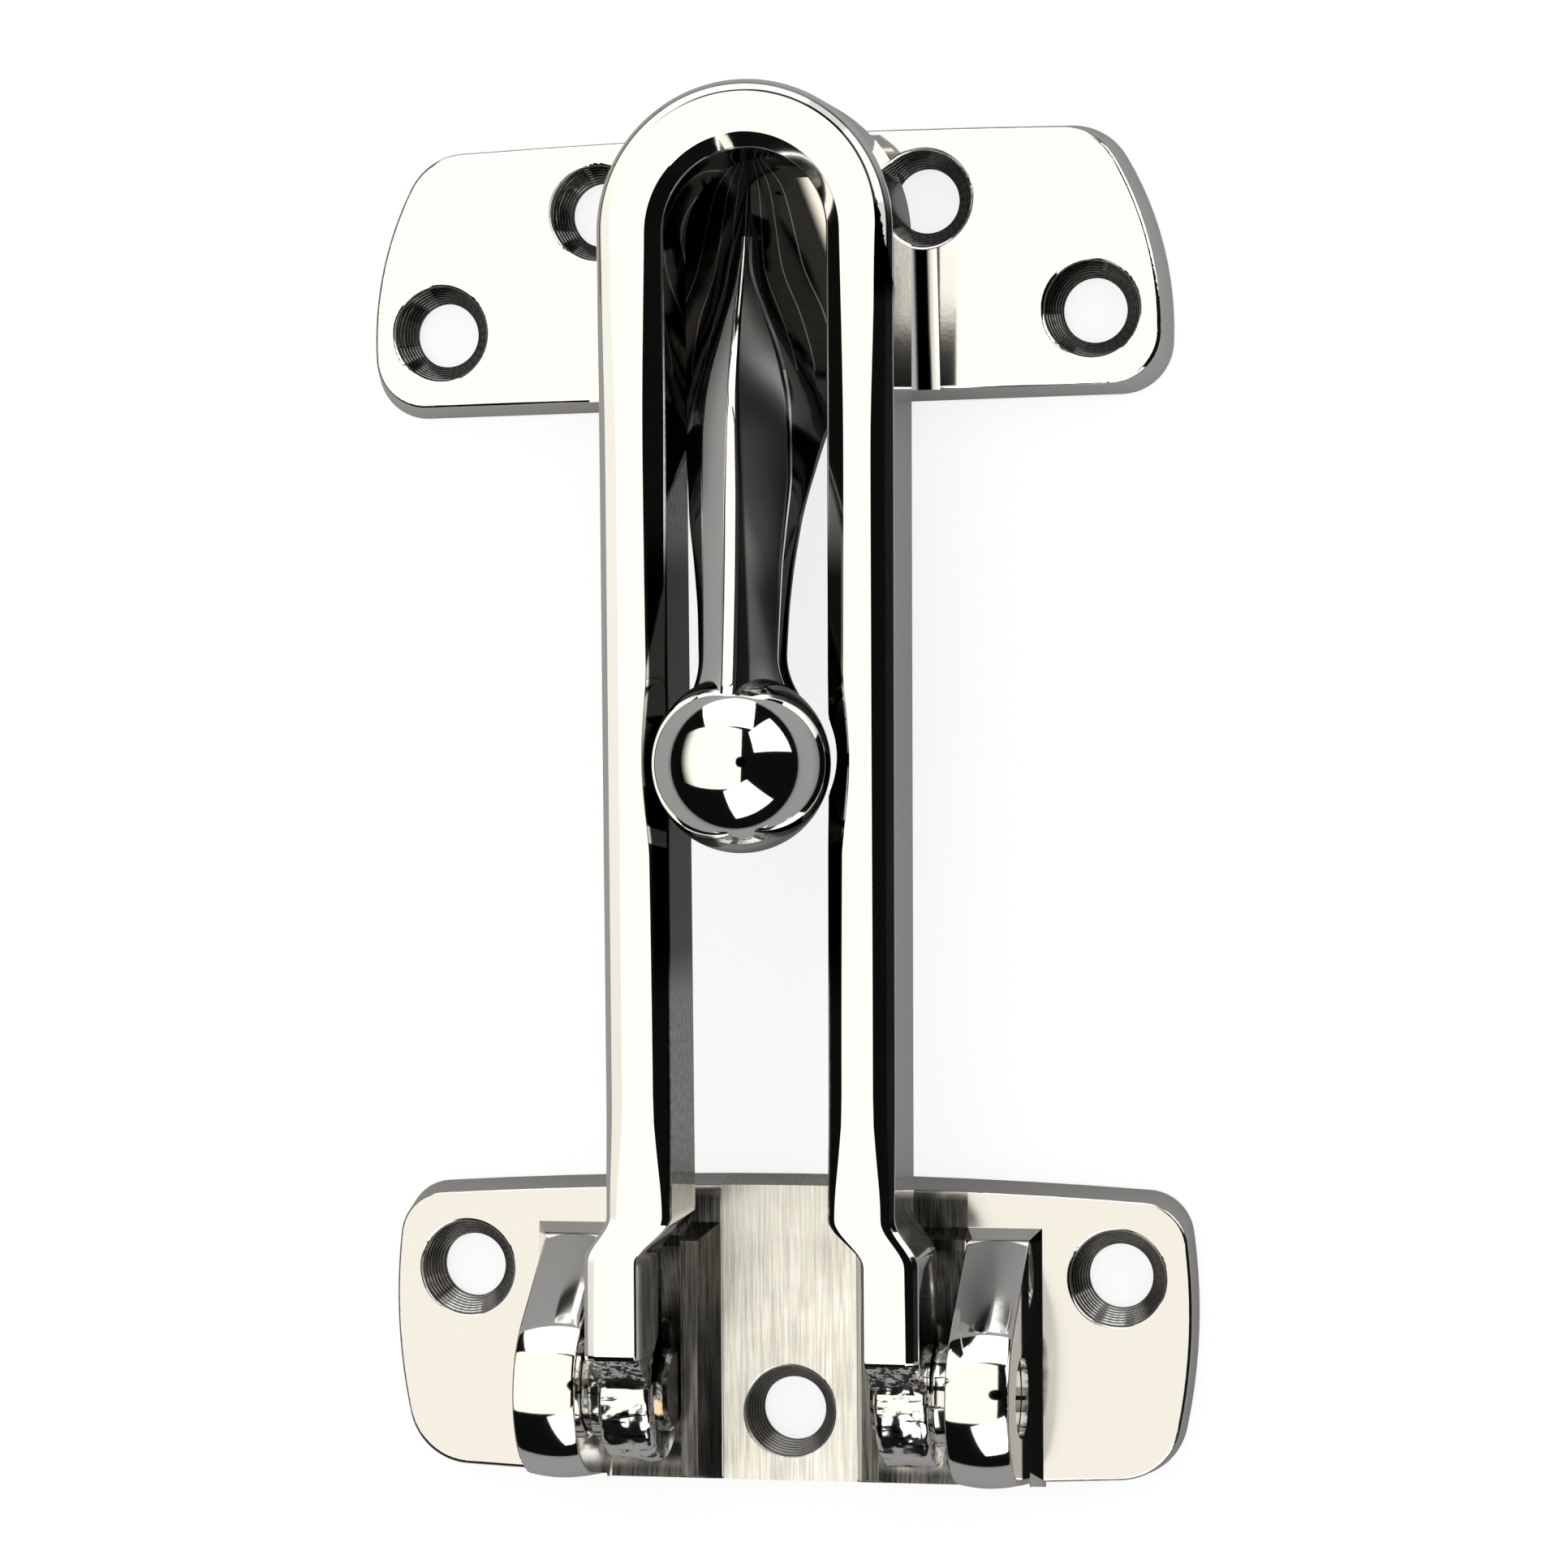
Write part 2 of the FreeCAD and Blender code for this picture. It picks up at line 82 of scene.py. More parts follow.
class GuardSizes(PropertyGroup):
    """Sizes that the finish follows."""

    screw_spacing: length("Outer screw spacing", "Distance between the outer screws of a plate", 57.15)
    upper_spacing: length("Upper screw spacing", "Distance between the upper screws of the ball plate", 28.6)
    screw_bore: length("Screw bore", "Diameter of the screw holes", 5.6)
    screw_rim: length("Screw rim", "Diameter of the countersinks at the face", 8.8)
    low_rim: length("Low screw rim", "Diameter of the middle countersink", 8.4)
    screw_land: length("Screw land", "Straight part of the bore below the countersink", 0.8)
    screw_lip: length("Screw lip", "Rounded lip of the countersink", 0.35)
    plate: length("Plate thickness", "Thickness of both plates", 3.2)
    channel: length("Channel depth", "Depth of the brushed channel in the hinge plate", 0.3)
    channel_half: length("Channel half width", "Half width of the brushed channel", 5.9)
    low_screw: length("Low screw", "Height of the middle screw below the outer ones", -12.0)
    turned_pitch: length("Turned groove pitch", "Distance between turned grooves in a countersink", 0.3)
    turned_depth: length("Turned groove depth", "Depth of the turned grooves", 0.03)
    twist: angle("Ball plate twist", "Turn of the ball plate about the ball", 1.05)
    rise: length("Screw line rise", "Height of the ball plate screws above the ball", 37.65)
    upper_rise: length("Upper screw rise", "Height of the upper screws above the outer ones", 9.9)
    lean: length("Plate lean", "Sideways offset of the ball plate from its ball", 1.1)
    pivot_y: length("Pivot below screws", "Place of the pivot below the hinge plate's outer screws", -9.4)
    pivot_z: length("Pivot height", "Height of the pivot above the backs of the plates", 8.9)
    bar_top: length("Arch centre", "Place of the centre of the bar's arch above the screws", 88.25)
    bar_half: length("Bar half width", "Half width of the bar over its arch", 12.55)
    slot_half: length("Slot half width", "Half width of the slot at the arch", 6.9)
    bar_rear: length("Bar rear", "Height of the bar's rear face", 9.9)
    bar_front: length("Bar front", "Height of the bar's front face", 19.6)
    splay: angle("Leg splay", "Lean of the legs towards each other", 0.2)
    jog_high: length("Jog top", "Where the jog starts", 6.5)
    jog_low: length("Jog foot", "Where the jog ends", 2.6)
    knuckle_inner: length("Knuckle inner side", "Slot side of the knuckle", 9.6)
    knuckle_outer: length("Knuckle outer side", "Outer side of the knuckle", 14.2)
    knuckle_radius: length("Knuckle radius", "Radius of the knuckle about the pivot", 6.2)
    boss_radius: length("Boss radius", "Radius of the boss beside the knuckle", 4.3)
    boss_end: length("Boss end", "Outer end of the boss", 15.5)
    pin_radius: length("Pin radius", "Radius of the pivot pins", 3.5)
    ear_inner: length("Ear inner side", "Side of an ear next to its knuckle", 15.8)
    ear_outer: length("Ear outer side", "Side of an ear away from its knuckle", 21.2)
    ear_radius: length("Ear radius", "Radius of an ear about the pivot", 7.7)
    ear_round: length("Ear edge", "Depth of an ear's rounded edge", 0.5)
    ear_dome: angle("Ear dome", "Tilt of an ear's domed crown next to its edges", 13)
    ear_foot: length("Ear foot", "Lower end of an ear below the screws", -17.95)
    ramp_foot: length("Ramp foot", "Upper end of an ear's ramp above the screws", 3.3)
    pad_top: length("Pad top", "Height of the pads that the ears stand on", 4.8)
    flat_end: length("Face end", "Where the flat front of a leg ends above the knuckle", -5.5)
    ball_path: length("Ball passage", "Radius of the passage that the ball swings through", 7.5)
    ball_radius: length("Ball radius", "Radius of the ball", 7.4)


class GuardColours(PropertyGroup):
    """Colours of the metals, of the light and shade painted on the arm and its root, and of the studio."""

    bar_nickel: colour("Bar nickel", "Polished nickel of the swing bar", (0.93, 0.925, 0.90))
    plate_nickel: colour("Plate nickel", "Satin nickel of the hinge plate's face", (0.765, 0.755, 0.725))
    brass: colour("Brass", "Brass of the pivot pins", (0.78, 0.55, 0.33))
    # Painted light and shade for the arm and its root: a shade for the recess, highlight lines over the
    # root, a lit facet left of the ridge, a shaded facet right of it, and highlight lines beside the facets.
    root_shade: colour("Root shade", "Dark plating in the recess round the arm", (0.021, 0.02, 0.019))
    root_line: colour("Root line", "Bright lines that fan out over the root", (0.15, 0.15, 0.145))
    left_facet: colour("Left facet", "Plating of the facet left of the ridge", (0.8, 0.8, 0.82))
    right_facet: colour("Right facet", "Plating of the facet right of the ridge", (0.27, 0.27, 0.28))
    arm_line: colour("Arm line", "Bright lines beside the facets", (0.52, 0.51, 0.48))
    floor: colour("Floor", "Paper of the studio floor", (0.30, 0.30, 0.31))
    cream: colour("Cream panel", "Colour of the large side panel", (1.0, 0.965, 0.88))


class Net:
    """Short way to lay nodes in a tree and join them."""

    def __init__(self, tree):
        self.tree = tree

    def put(self, socket, value):
        if isinstance(value, bpy.types.NodeSocket):
            self.tree.links.new(value, socket)
        else:
            socket.default_value = value

    def fill(self, node, *values, **inputs):
        """Feed the first sockets of a node in order, and others by name."""
        for socket, value in zip(node.inputs, values):
            self.put(socket, value)
        for key, value in inputs.items():
            self.put(node.inputs[key.replace("_", " ")], value)

    def node(self, kind, *values, settings=None, **inputs):
        made = self.tree.nodes.new(kind)
        for key, value in (settings or {}).items():
            setattr(made, key, value)
        self.fill(made, *values, **inputs)
        return made

    def add(self, kind, *values, out=0, settings=None, **inputs):
        return self.node(kind, *values, settings=settings, **inputs).outputs[out]

    def group(self, name, **inputs):
        """Outputs of a shared node group."""
        tree = bpy.data.node_groups[name]
        return self.node("ShaderNodeGroup", settings={"node_tree": tree}, **inputs).outputs

    def surface(self, shader):
        self.node("ShaderNodeOutputMaterial", Surface=shader)

    def place(self):
        return self.add("ShaderNodeTexCoord", out="Object")

    def axes(self, place):
        return self.node("ShaderNodeSeparateXYZ", place).outputs

    def grain(self, place, scale, detail, rough=0.5):
        return self.add("ShaderNodeTexNoise", Vector=place, Scale=scale, Detail=detail, Roughness=rough)

    def math(self, operation, a, b=0.0, c=0.0):
        return self.add("ShaderNodeMath", a, b, c, settings={"operation": operation})

    def vector(self, operation, a, b):
        return self.add("ShaderNodeVectorMath", a, b, settings={"operation": operation})

    def plus(self, a, b):
        return self.math("ADD", a, b)

    def less(self, a, b):
        return self.math("SUBTRACT", a, b)

    def rest(self, a):
        return self.math("SUBTRACT", 1.0, a)

    def times(self, first, *others):
        for other in others:
            first = self.math("MULTIPLY", first, other)
        return first

    def scaled(self, value, factor, offset):
        return self.math("MULTIPLY_ADD", value, factor, offset)

    def size(self, value):
        return self.math("ABSOLUTE", value)

    def most(self, a, b):
        return self.math("MAXIMUM", a, b)

    def diagonal(self, a, b):
        return self.math("SQRT", self.plus(self.times(a, a), self.times(b, b)))

    def ramp(self, value, low, high, to_low=0.0, to_high=1.0):
        return self.add("ShaderNodeMapRange", value, low, high, to_low, to_high,
                        settings={"interpolation_type": "SMOOTHSTEP"})

    def fade(self, value, low, high, base=0.0, to_low=0.0, to_high=1.0):
        """Ramp of a length between low and high, which are given in mm beyond a base."""
        return self.ramp(value, base + low * MM, base + high * MM, to_low, to_high)

    def band(self, value, low, high, soft):
        """Soft mask of a length between two bounds. The width of its edges is given in mm."""
        return self.times(self.fade(value, -soft, soft, low), self.fade(value, soft, -soft, high))

    def mix(self, factor, first, second):
        """Colour between two colours, which are the seventh and eighth socket."""
        made = self.node("ShaderNodeMix", factor, settings={"data_type": "RGBA"})
        for socket, value in zip(made.inputs[6:8], (first, second)):
            self.put(socket, value if isinstance(value, bpy.types.NodeSocket) else (*value[:3], 1))
        return made.outputs[2]


def new_material(name):
    material = bpy.data.materials.new(name)
    material.use_nodes = True
    material.node_tree.nodes.clear()
    return material, Net(material.node_tree)


def new_tree(name, kind, inputs, outputs):
    """Node group with its two ends. An input is given by its number, or by the kind of its socket."""
    tree = bpy.data.node_groups.new(name, kind + "NodeTree")
    for label, value in inputs.items():
        socket = value if isinstance(value, str) else "Float"
        made = tree.interface.new_socket(label, in_out="INPUT", socket_type="NodeSocket" + socket)
        if not isinstance(value, str):
            made.default_value = value
    for label, socket in outputs.items():
        tree.interface.new_socket(label, in_out="OUTPUT", socket_type="NodeSocket" + socket)
    net = Net(tree)
    return net, net.node("NodeGroupInput").outputs, net.node("NodeGroupOutput")


def link(obj):
    bpy.context.scene.collection.objects.link(obj)
    return obj


def mesh_object(name, points, faces, smooth_faces=False):
    mesh = bpy.data.meshes.new(name)
    mesh.from_pydata([tuple(p) for p in points], [], faces)
    mesh.update()
    if smooth_faces:
        mesh.polygons.foreach_set("use_smooth", [True] * len(mesh.polygons))
    return link(bpy.data.objects.new(name, mesh))


def add_metals(obj, *names):
    for name in names:
        obj.data.materials.append(bpy.data.materials[name])
    return obj


def grid_faces(rows, count, order=(0, 1, 2, 3), closed=True, looped=False):
    """Quads of a grid of points, closed round each row, and from the last row to the first where looped."""
    faces = []
    for a in range(rows if looped else rows - 1):
        here = a * count
        there = (a + 1) % rows * count
        for j in range(count if closed else count - 1):
            k = (j + 1) % count
            quad = (here + j, here + k, there + k, there + j)
            faces.append(tuple(quad[corner] for corner in order))
    return faces


def corner_order(is_turned):
    """Order of a quad's corners, either way round."""
    return (0, 3, 2, 1) if is_turned else (1, 2, 3, 0)


def face_outwards(mesh, merged=True):
    work = bmesh.new()
    work.from_mesh(mesh)
    if merged:
        bmesh.ops.remove_doubles(work, verts=work.verts, dist=1e-7)
    bmesh.ops.recalc_face_normals(work, faces=work.faces)
    work.to_mesh(mesh)
    work.free()


def joined(name, objects):
    """One object from several, which keeps their normals."""
    for other in bpy.context.selected_objects:
        other.select_set(False)
    for obj in objects:
        obj.select_set(True)
    bpy.context.view_layer.objects.active = objects[0]
    bpy.ops.object.join()
    objects[0].name = name
    objects[0].data.name = name
    return objects[0]


def camera_axes():
    """Right, up and back of the camera as unit vectors."""
    back = Vector((math.sin(YAW) * math.cos(PITCH), math.sin(PITCH), math.cos(YAW) * math.cos(PITCH)))
    level = Vector((math.cos(YAW), 0, -math.sin(YAW)))
    upright = back.cross(level)
    right = level * math.cos(ROLL) + upright * math.sin(ROLL)
    up = upright * math.cos(ROLL) - level * math.sin(ROLL)
    return right, up, back


def make_camera():
    data = bpy.data.cameras.new("studio_camera")
    data.sensor_width = 36
    data.lens = FOCAL_LENGTH / PHOTO_SIDE * data.sensor_width
    data.shift_x = (PHOTO_SIDE / 2 - OPTICAL_CENTRE[0]) / PHOTO_SIDE
    data.shift_y = (OPTICAL_CENTRE[1] - PHOTO_SIDE / 2) / PHOTO_SIDE
    data.clip_start = 0.01
    data.clip_end = 20
    camera = link(bpy.data.objects.new("studio_camera", data))
    turn = Matrix(camera_axes()).transposed().to_4x4()
    camera.matrix_world = Matrix.Translation(CAMERA_PLACE) @ turn
    bpy.context.scene.camera = camera


def card(name, corners, distance, tint=WHITE, strength=1.6, faded=None):
    """Glowing studio panel whose corners lie in these directions of the camera's axes from the ball."""
    right, up, back = camera_axes()
    rays = [(right * x + up * y + back * z).normalized() for x, y, z in corners]
    panel = mesh_object(name, [BALL + ray * distance for ray in rays], [tuple(range(len(rays)))])
    material, net = new_material(name)
    power = strength
    if faded:
        power = net.fade(net.axes(net.place())[0], *faded, to_high=strength)
    net.surface(net.add("ShaderNodeEmission", Color=(*tint, 1), Strength=power))
    panel.data.materials.append(material)
    panel.visible_camera = False


def make_floor(colours):
    """Paper floor that looks white from the camera and keeps the object's shadow."""
    half = 4.0
    level = -0.2 * MM
    seen_glow = 0.78
    mirrored_glow = 0.04
    corners = [(x * half, y * half, level) for x, y in ((-1, -1), (1, -1), (1, 1), (-1, 1))]
    floor = mesh_object("studio_floor", corners, [(0, 1, 2, 3)])
    material, net = new_material("studio_floor")
    path = net.node("ShaderNodeLightPath").outputs
    mirrored = net.most(path["Is Glossy Ray"], path["Is Transmission Ray"])
    glow = net.scaled(mirrored, mirrored_glow, net.times(path["Is Camera Ray"], seen_glow))
    paper = net.add("ShaderNodeBsdfDiffuse", Color=(*colours.floor, 1))
    net.surface(net.add("ShaderNodeAddShader", paper, net.add("ShaderNodeEmission", (*WHITE, 1), glow)))
    floor.data.materials.append(material)


def make_world():
    """White backdrop that lights the object dimly and is nearly black in its reflections."""
    dim = 0.4
    mirrored = 0.004
    world = bpy.data.worlds.new("studio_world")
    world.use_nodes = True
    world.node_tree.nodes.clear()
    net = Net(world.node_tree)
    path = net.node("ShaderNodeLightPath").outputs
    level = net.most(net.scaled(path["Is Glossy Ray"], mirrored - dim, dim), path["Is Camera Ray"])
    shader = net.add("ShaderNodeBackground", Color=(*WHITE, 1), Strength=level)
    net.node("ShaderNodeOutputWorld", Surface=shader)
    bpy.context.scene.world = world


class GUARD_OT_stage(Operator):
    """Make the camera, the floor and the soft studio panels"""

    bl_idname = "guard.stage"
    bl_label = "Studio"

    def execute(self, context):
        colours = context.scene.guard_colours
        context.scene.view_settings.view_transform = "Standard"
        make_camera()
        make_floor(colours)
        make_world()
        turns = [math.tau * k / 24 for k in range(24)]
        card("side_panel", ((0.03, 0.687, 0.726), (0.0, -0.506, 0.863), (-0.957, -0.275, 0.086),
                            (-0.872, 0.48, 0.092)), 0.7, colours.cream, 1.2, (-600, -380))
        card("top_box", ((-0.642, 0.628, 0.44), (0.248, 0.68, 0.69), (0.185, 0.96, -0.26),
                         (-0.51, 0.83, -0.26)), 0.72)
        card("right_box", ((0.167, 0.636, 0.752), (0.51, 0.804, 0.309), (0.918, 0.212, 0.335),
                           (0.293, 0.236, 0.929)), 0.72)
        card("dark_disc", [(0.11 * math.cos(turn), 0.03 + 0.12 * math.sin(turn), 1) for turn in turns],
             0.385, (0, 0, 0), 0.0)
        card("low_box", ((-0.351, -0.573, 0.741), (0.134, -0.35, 0.928), (0.608, -0.672, 0.425),
                         (-0.084, -0.963, 0.255)), 0.72)
        return {"FINISHED"}


def smooth(value, low, high):
    """Smooth step of value from 0 at low to 1 at high."""
    t = min(1.0, max(0.0, (value - low) / (high - low)))
    return t * t * (3 - 2 * t)


def straight(t):
    return t


def follow(value, stops, ease=straight):
    """Amount at a value among (place, amount) stops in rising order, eased between them."""
    if value <= stops[0][0]:
        return stops[0][1]
    for (low, a), (high, b) in zip(stops, stops[1:]):
        if value <= high:
            return a + (b - a) * ease((value - low) / (high - low))
    return stops[-1][1]


def rounded(corners, steps=6):
    """Closed outline through corners (across, height, radius) with each corner rounded.

    Gives points and their outward normals. The corners run anticlockwise round the solid."""
    made = []
    count = len(corners)
    for i, (x, z, radius) in enumerate(corners):
        here = Vector((x, z))
        before = Vector(corners[i - 1][:2])
        after = Vector(corners[(i + 1) % count][:2])
        into = (here - before).normalized()
        out = (after - here).normalized()
        turn = math.atan2(into.x * out.y - into.y * out.x, into.dot(out))
        start = here - into * radius * math.tan(abs(turn) / 2)
        side = 1 if turn > 0 else -1
        centre = start + Vector((-into.y, into.x)) * radius * side
        arm = start - centre
        for k in range(steps + 1):
            spoke = arm.copy()
            spoke.rotate(Matrix.Rotation(turn * k / steps, 2))
            made.append((centre + spoke, spoke.normalized() * side))
    return made


# Widths of the bevels up the bar, as (height, width) in mm.
SLOT_BEVEL = ((-5.0, 0.15), (2.6, 0.15), (6.5, 0.7), (16, 1.35), (70, 1.65), (96, 1.25))
OUTER_BEVEL = ((-5.0, 1.0), (6.5, 1.1), (16, 1.7), (70, 1.75), (84, 1.45), (97, 1.05))


def leg_edges(sizes, y):
    """Slot side and outer side of a leg at height y."""
    drop = (sizes.bar_top - y) * math.tan(sizes.splay)
    jog = smooth(y, sizes.jog_low, sizes.jog_high)
    return (sizes.knuckle_inner + (sizes.slot_half - drop - sizes.knuckle_inner) * jog,
            sizes.knuckle_outer + (sizes.bar_half - drop - sizes.knuckle_outer) * jog)


def bevel_widths(y):
    """Slot side and outer bevel widths at height y. The slot's bevel is wider beside the ball."""
    slot, outer = (follow(y / MM, stops, lambda t: smooth(t, 0, 1)) * MM
                   for stops in (SLOT_BEVEL, OUTER_BEVEL))
    near = abs(y - BALL.y) / (7.6 * MM)
    if near < 1:
        slot += 0.52 * MM * math.cos(near * math.pi / 2) ** 1.4
    return slot, outer


def bar_section(sizes, y, inner, outer, front):
    """Rounded section of the bar between its slot side and its outer side."""
    gentle_slope = math.tan(math.radians(22))
    steep_slope = math.tan(math.radians(50))
    rear = sizes.bar_rear
    room = front - rear
    slot, side = (min(width, room * 0.4) for width in bevel_widths(y))
    edge = min(0.5 * MM, room * 0.12)
    fall = slot * (0.7 + 0.3 * smooth(y, 86 * MM, 96 * MM))
    rim = 0.38 * side
    gentle = (side - rim) * gentle_slope
    return rounded([
        (inner, rear, 0.3 * MM),
        (outer, rear, 0.3 * MM),
        (outer, front - gentle - rim * steep_slope, min(edge, 0.3 * MM)),
        (outer - rim, front - gentle, 0.12 * MM),
        (outer - side, front, 0.22 * MM),
        (inner + slot, front, 0.16 * MM),
        (inner, front - fall, min(edge, slot)),
    ])


def passage(sizes, y, z):
    """Half width that the ball needs on its way through the slot."""
    swing = math.hypot(BALL.y - sizes.pivot_y, BALL.z - sizes.pivot_z)
    height = math.sqrt(max(0.0, swing ** 2 - (z - sizes.pivot_z) ** 2)) + sizes.pivot_y
    room = sizes.ball_path ** 2 - (y - height) ** 2
    return math.sqrt(room) if room > 0 else 0.0


def leg_heights(sizes):
    """Heights of a leg's sections, which lie closer at its foot, at the jog and beside the ball."""
    low = sizes.flat_end
    heights = [low - 3.0 * MM + 0.3 * MM * k for k in range(10)]
    heights += [low + above * MM for above in (0.05, 0.4, 1.2, 2.0, 3.5, 5.0)]
    y = 0.2 * MM
    for end, step in ((9 * MM, 0.35), (34 * MM, 2.5), (54 * MM, 0.4), (sizes.bar_top - 1 * MM, 2.5)):
        while y < end:
            heights.append(y)
            y += step * MM
    return heights


def leg_row(sizes, y, side):
    """Points and flat normals of a leg's section. Its front falls off just above the knuckle."""
    front_slope = 1.45
    front = sizes.bar_front - front_slope * max(0.0, sizes.flat_end - y)
    inner, outer = leg_edges(sizes, y)
    row = []
    flat = []
    for point, normal in bar_section(sizes, y, inner, outer, front):
        need = passage(sizes, y, point.y) if point.x < (inner + outer) / 2 else 0.0
        row.append(Vector((side * max(point.x, need), y, point.y)))
        flat.append(Vector((side * normal.x, 0, normal.y)))
    return row, flat


def arch_row(sizes, turn):
    """Points and flat normals of a section at an angle round the arch."""
    height = sizes.bar_top + sizes.bar_half * 0.75 * math.sin(turn)
    out = Vector((math.cos(turn), math.sin(turn), 0))
    section = bar_section(sizes, height, sizes.slot_half, sizes.bar_half, sizes.bar_front)
    row = [out * point.x + Vector((0, sizes.bar_top, point.y)) for point, normal in section]
    return row, [out * normal.x + Vector((0, 0, normal.y)) for point, normal in section]


def true_normals(rows, flats):
    """Section normals made square to the run of the bar."""
    normals = []
    last = len(rows) - 1
    for i, flat in enumerate(flats):
        ahead = rows[min(i + 1, last)]
        behind = rows[max(i - 1, 0)]
        for j, normal in enumerate(flat):
            run = (ahead[j] - behind[j]).normalized()
            normals.append(tuple((normal - run * normal.dot(run)).normalized()))
    return normals


def make_loop(sizes):
    """The two legs and the arch of the bar, from the foot of the left leg to the foot of the right one."""
    turns = 72
    heights = leg_heights(sizes)
    made = [leg_row(sizes, y, -1) for y in heights]
    made += [arch_row(sizes, math.pi * (1 - k / turns)) for k in range(turns + 1)]
    made += [leg_row(sizes, y, 1) for y in reversed(heights)]
    rows, flats = zip(*made)
    count = len(rows[0])
    faces = grid_faces(len(rows), count)
    end = (len(rows) - 1) * count
    faces.append(tuple(reversed(range(count))))
    faces.append(tuple(range(end, end + count)))
    loop = mesh_object("bar_loop", [p for row in rows for p in row], faces, True)
    loop.data.normals_split_custom_set_from_vertices(true_normals(rows, flats))
    return add_metals(loop, "bar_nickel")


def make_knuckle(sizes, side):
    """Rough cast knuckle round the pivot, with the boss on its outer side."""
    inner = sizes.knuckle_inner
    outer = sizes.knuckle_outer
    end = sizes.boss_end
    boss = sizes.boss_radius
    top = sizes.knuckle_radius
    edge = 0.45 * MM
    bevel = 0.3 * edge
    fillet = 0.25 * MM
    chamfer = 0.2 * MM
    dent_depth = 0.26 * MM
    steps = 128
    profile = [(inner, sizes.pin_radius), (inner, top - edge), (inner + bevel, top - bevel)]
    profile += [(inner + edge + (outer - inner - 2 * edge) * k / 16, top) for k in range(17)]
    profile += [(outer - bevel, top - bevel), (outer, top - edge), (outer, boss + fillet),
                (outer + 0.08 * MM, boss + 0.08 * MM), (outer + fillet, boss), (end - chamfer, boss),
                (end, boss - chamfer), (end, sizes.pin_radius)]
    centre = Vector((0, sizes.pivot_y, sizes.pivot_z))
    points = []
    for k in range(steps):
        turn = math.tau * k / steps
        for x, radius in profile:
            spot = Vector((side * x, radius * math.cos(turn), radius * math.sin(turn)))
            dents = noise.voronoi(spot * 900 + Vector((7, 3, 1)))[0]
            dent = (dents[1] - dents[0]) * 0.5 + 0.5 * noise.noise(spot * 700)
            depth = dent_depth * smooth(radius, 4.4 * MM, 5.8 * MM) * max(0.0, 0.6 - dent)
            shrunk = radius - depth
            points.append(centre + Vector((side * x, shrunk * math.cos(turn), shrunk * math.sin(turn))))
    faces = grid_faces(steps, len(profile), corner_order(side < 0), looped=True)
    knuckle = mesh_object("knuckle", points, faces)
    face_outwards(knuckle.data)
    knuckle.data.polygons.foreach_set("use_smooth", [True] * len(knuckle.data.polygons))
    knuckle.data.set_sharp_from_angle(angle=math.radians(50))
    return add_metals(knuckle, "knuckle_nickel")


class GUARD_OT_swing_bar(Operator):
    """Make the polished bar with its soft bevels, ball passage and rough knuckles"""

    bl_idname = "guard.swing_bar"
    bl_label = "Swing bar"

    def execute(self, context):
        sizes = context.scene.guard_sizes
        bar = joined("bar_finished", [make_loop(sizes), make_knuckle(sizes, -1), make_knuckle(sizes, 1)])
        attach(bar, "bar")
        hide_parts("swing_bar")
        return {"FINISHED"}


def plate_spot(sizes, across, distance, z):
    """Place in the frame of a spot given across and along the turned ball plate."""
    turn = sizes.twist
    return Vector((across * math.cos(turn) - distance * math.sin(turn),
                   BALL.y + across * math.sin(turn) + distance * math.cos(turn), z))


def plate_local(sizes, spot):
    """Across and along places of a spot in the turned ball plate."""
    turn = sizes.twist
    x = spot.x
    y = spot.y - BALL.y
    return x * math.cos(turn) + y * math.sin(turn), -x * math.sin(turn) + y * math.cos(turn)


def through(value, stops):
    """Straight runs with soft joins through (place, amount) stops in rising order, all in mm."""
    reach = 1.3
    weights = [1, 2, 3, 4, 5, 4, 3, 2, 1]
    taps = [follow(value + reach * (k / 4 - 1), stops) for k in range(len(weights))]
    return sum(t * w for t, w in zip(taps, weights)) / sum(weights)


# Half section of the arm, as (distance from the ball, amount) in mm: heights of its ridge, side and rear,
# half widths of its shoulder and side, drop of the shoulder below the ridge, and size of the ridge's crown.
# The flank bows inwards where BOW is 1.
RIDGE = ((2, 25.0), (8, 24.8), (16.4, 22.3), (20, 21.3), (23.4, 20.3), (28, 18.9), (31, 17.7), (33.7, 16.1),
         (35.8, 14.6), (38.1, 13.0), (40.2, 11.8), (44.7, 9.3), (48, 8.0), (51.3, 7.05))
SHOULDER = ((2, 3.1), (9, 3.1), (16.4, 3.3), (23.4, 3.7), (28, 3.65), (30.9, 3.4), (33.7, 2.8), (35.8, 2.17),
            (38.1, 1.42), (40.2, 0.65), (42, 0.3), (51.3, 0.12))
SHOULDER_DROP = ((2, 4.4), (9, 4.4), (16.4, 4.4), (23.4, 5.7), (30.9, 5.4), (33.7, 4.8), (35.8, 4.1),
                 (38.1, 2.9), (40.2, 1.4), (42, 0.4), (51.3, 0.1))
SIDE = ((2, 3.65), (9, 3.7), (12.8, 3.85), (16.5, 4.2), (20.3, 4.7), (23.7, 5.3), (26, 5.7), (28, 6.1),
        (30, 7.4), (31.5, 8.6), (34, 9.0), (38, 8.6), (41.5, 6.7), (43.3, 6.1), (45.1, 5.5), (47, 4.9),
        (49.1, 4.0), (50.3, 2.6), (51.3, 0.9))
SIDE_HEIGHT = ((2, 19.2), (9, 19.2), (16.5, 17.2), (20.3, 16.0), (23.7, 13.0), (26, 11.2), (28, 9.4),
               (30, 7.8), (31.5, 7.06), (50.0, 7.04), (51.3, 6.95))
REAR_HEIGHT = ((2, 17.3), (8, 17.2), (15.5, 14.0), (23, 9.2), (26.8, 4.5), (29.2, 2.3), (31, 1.6),
               (51.3, 1.6))
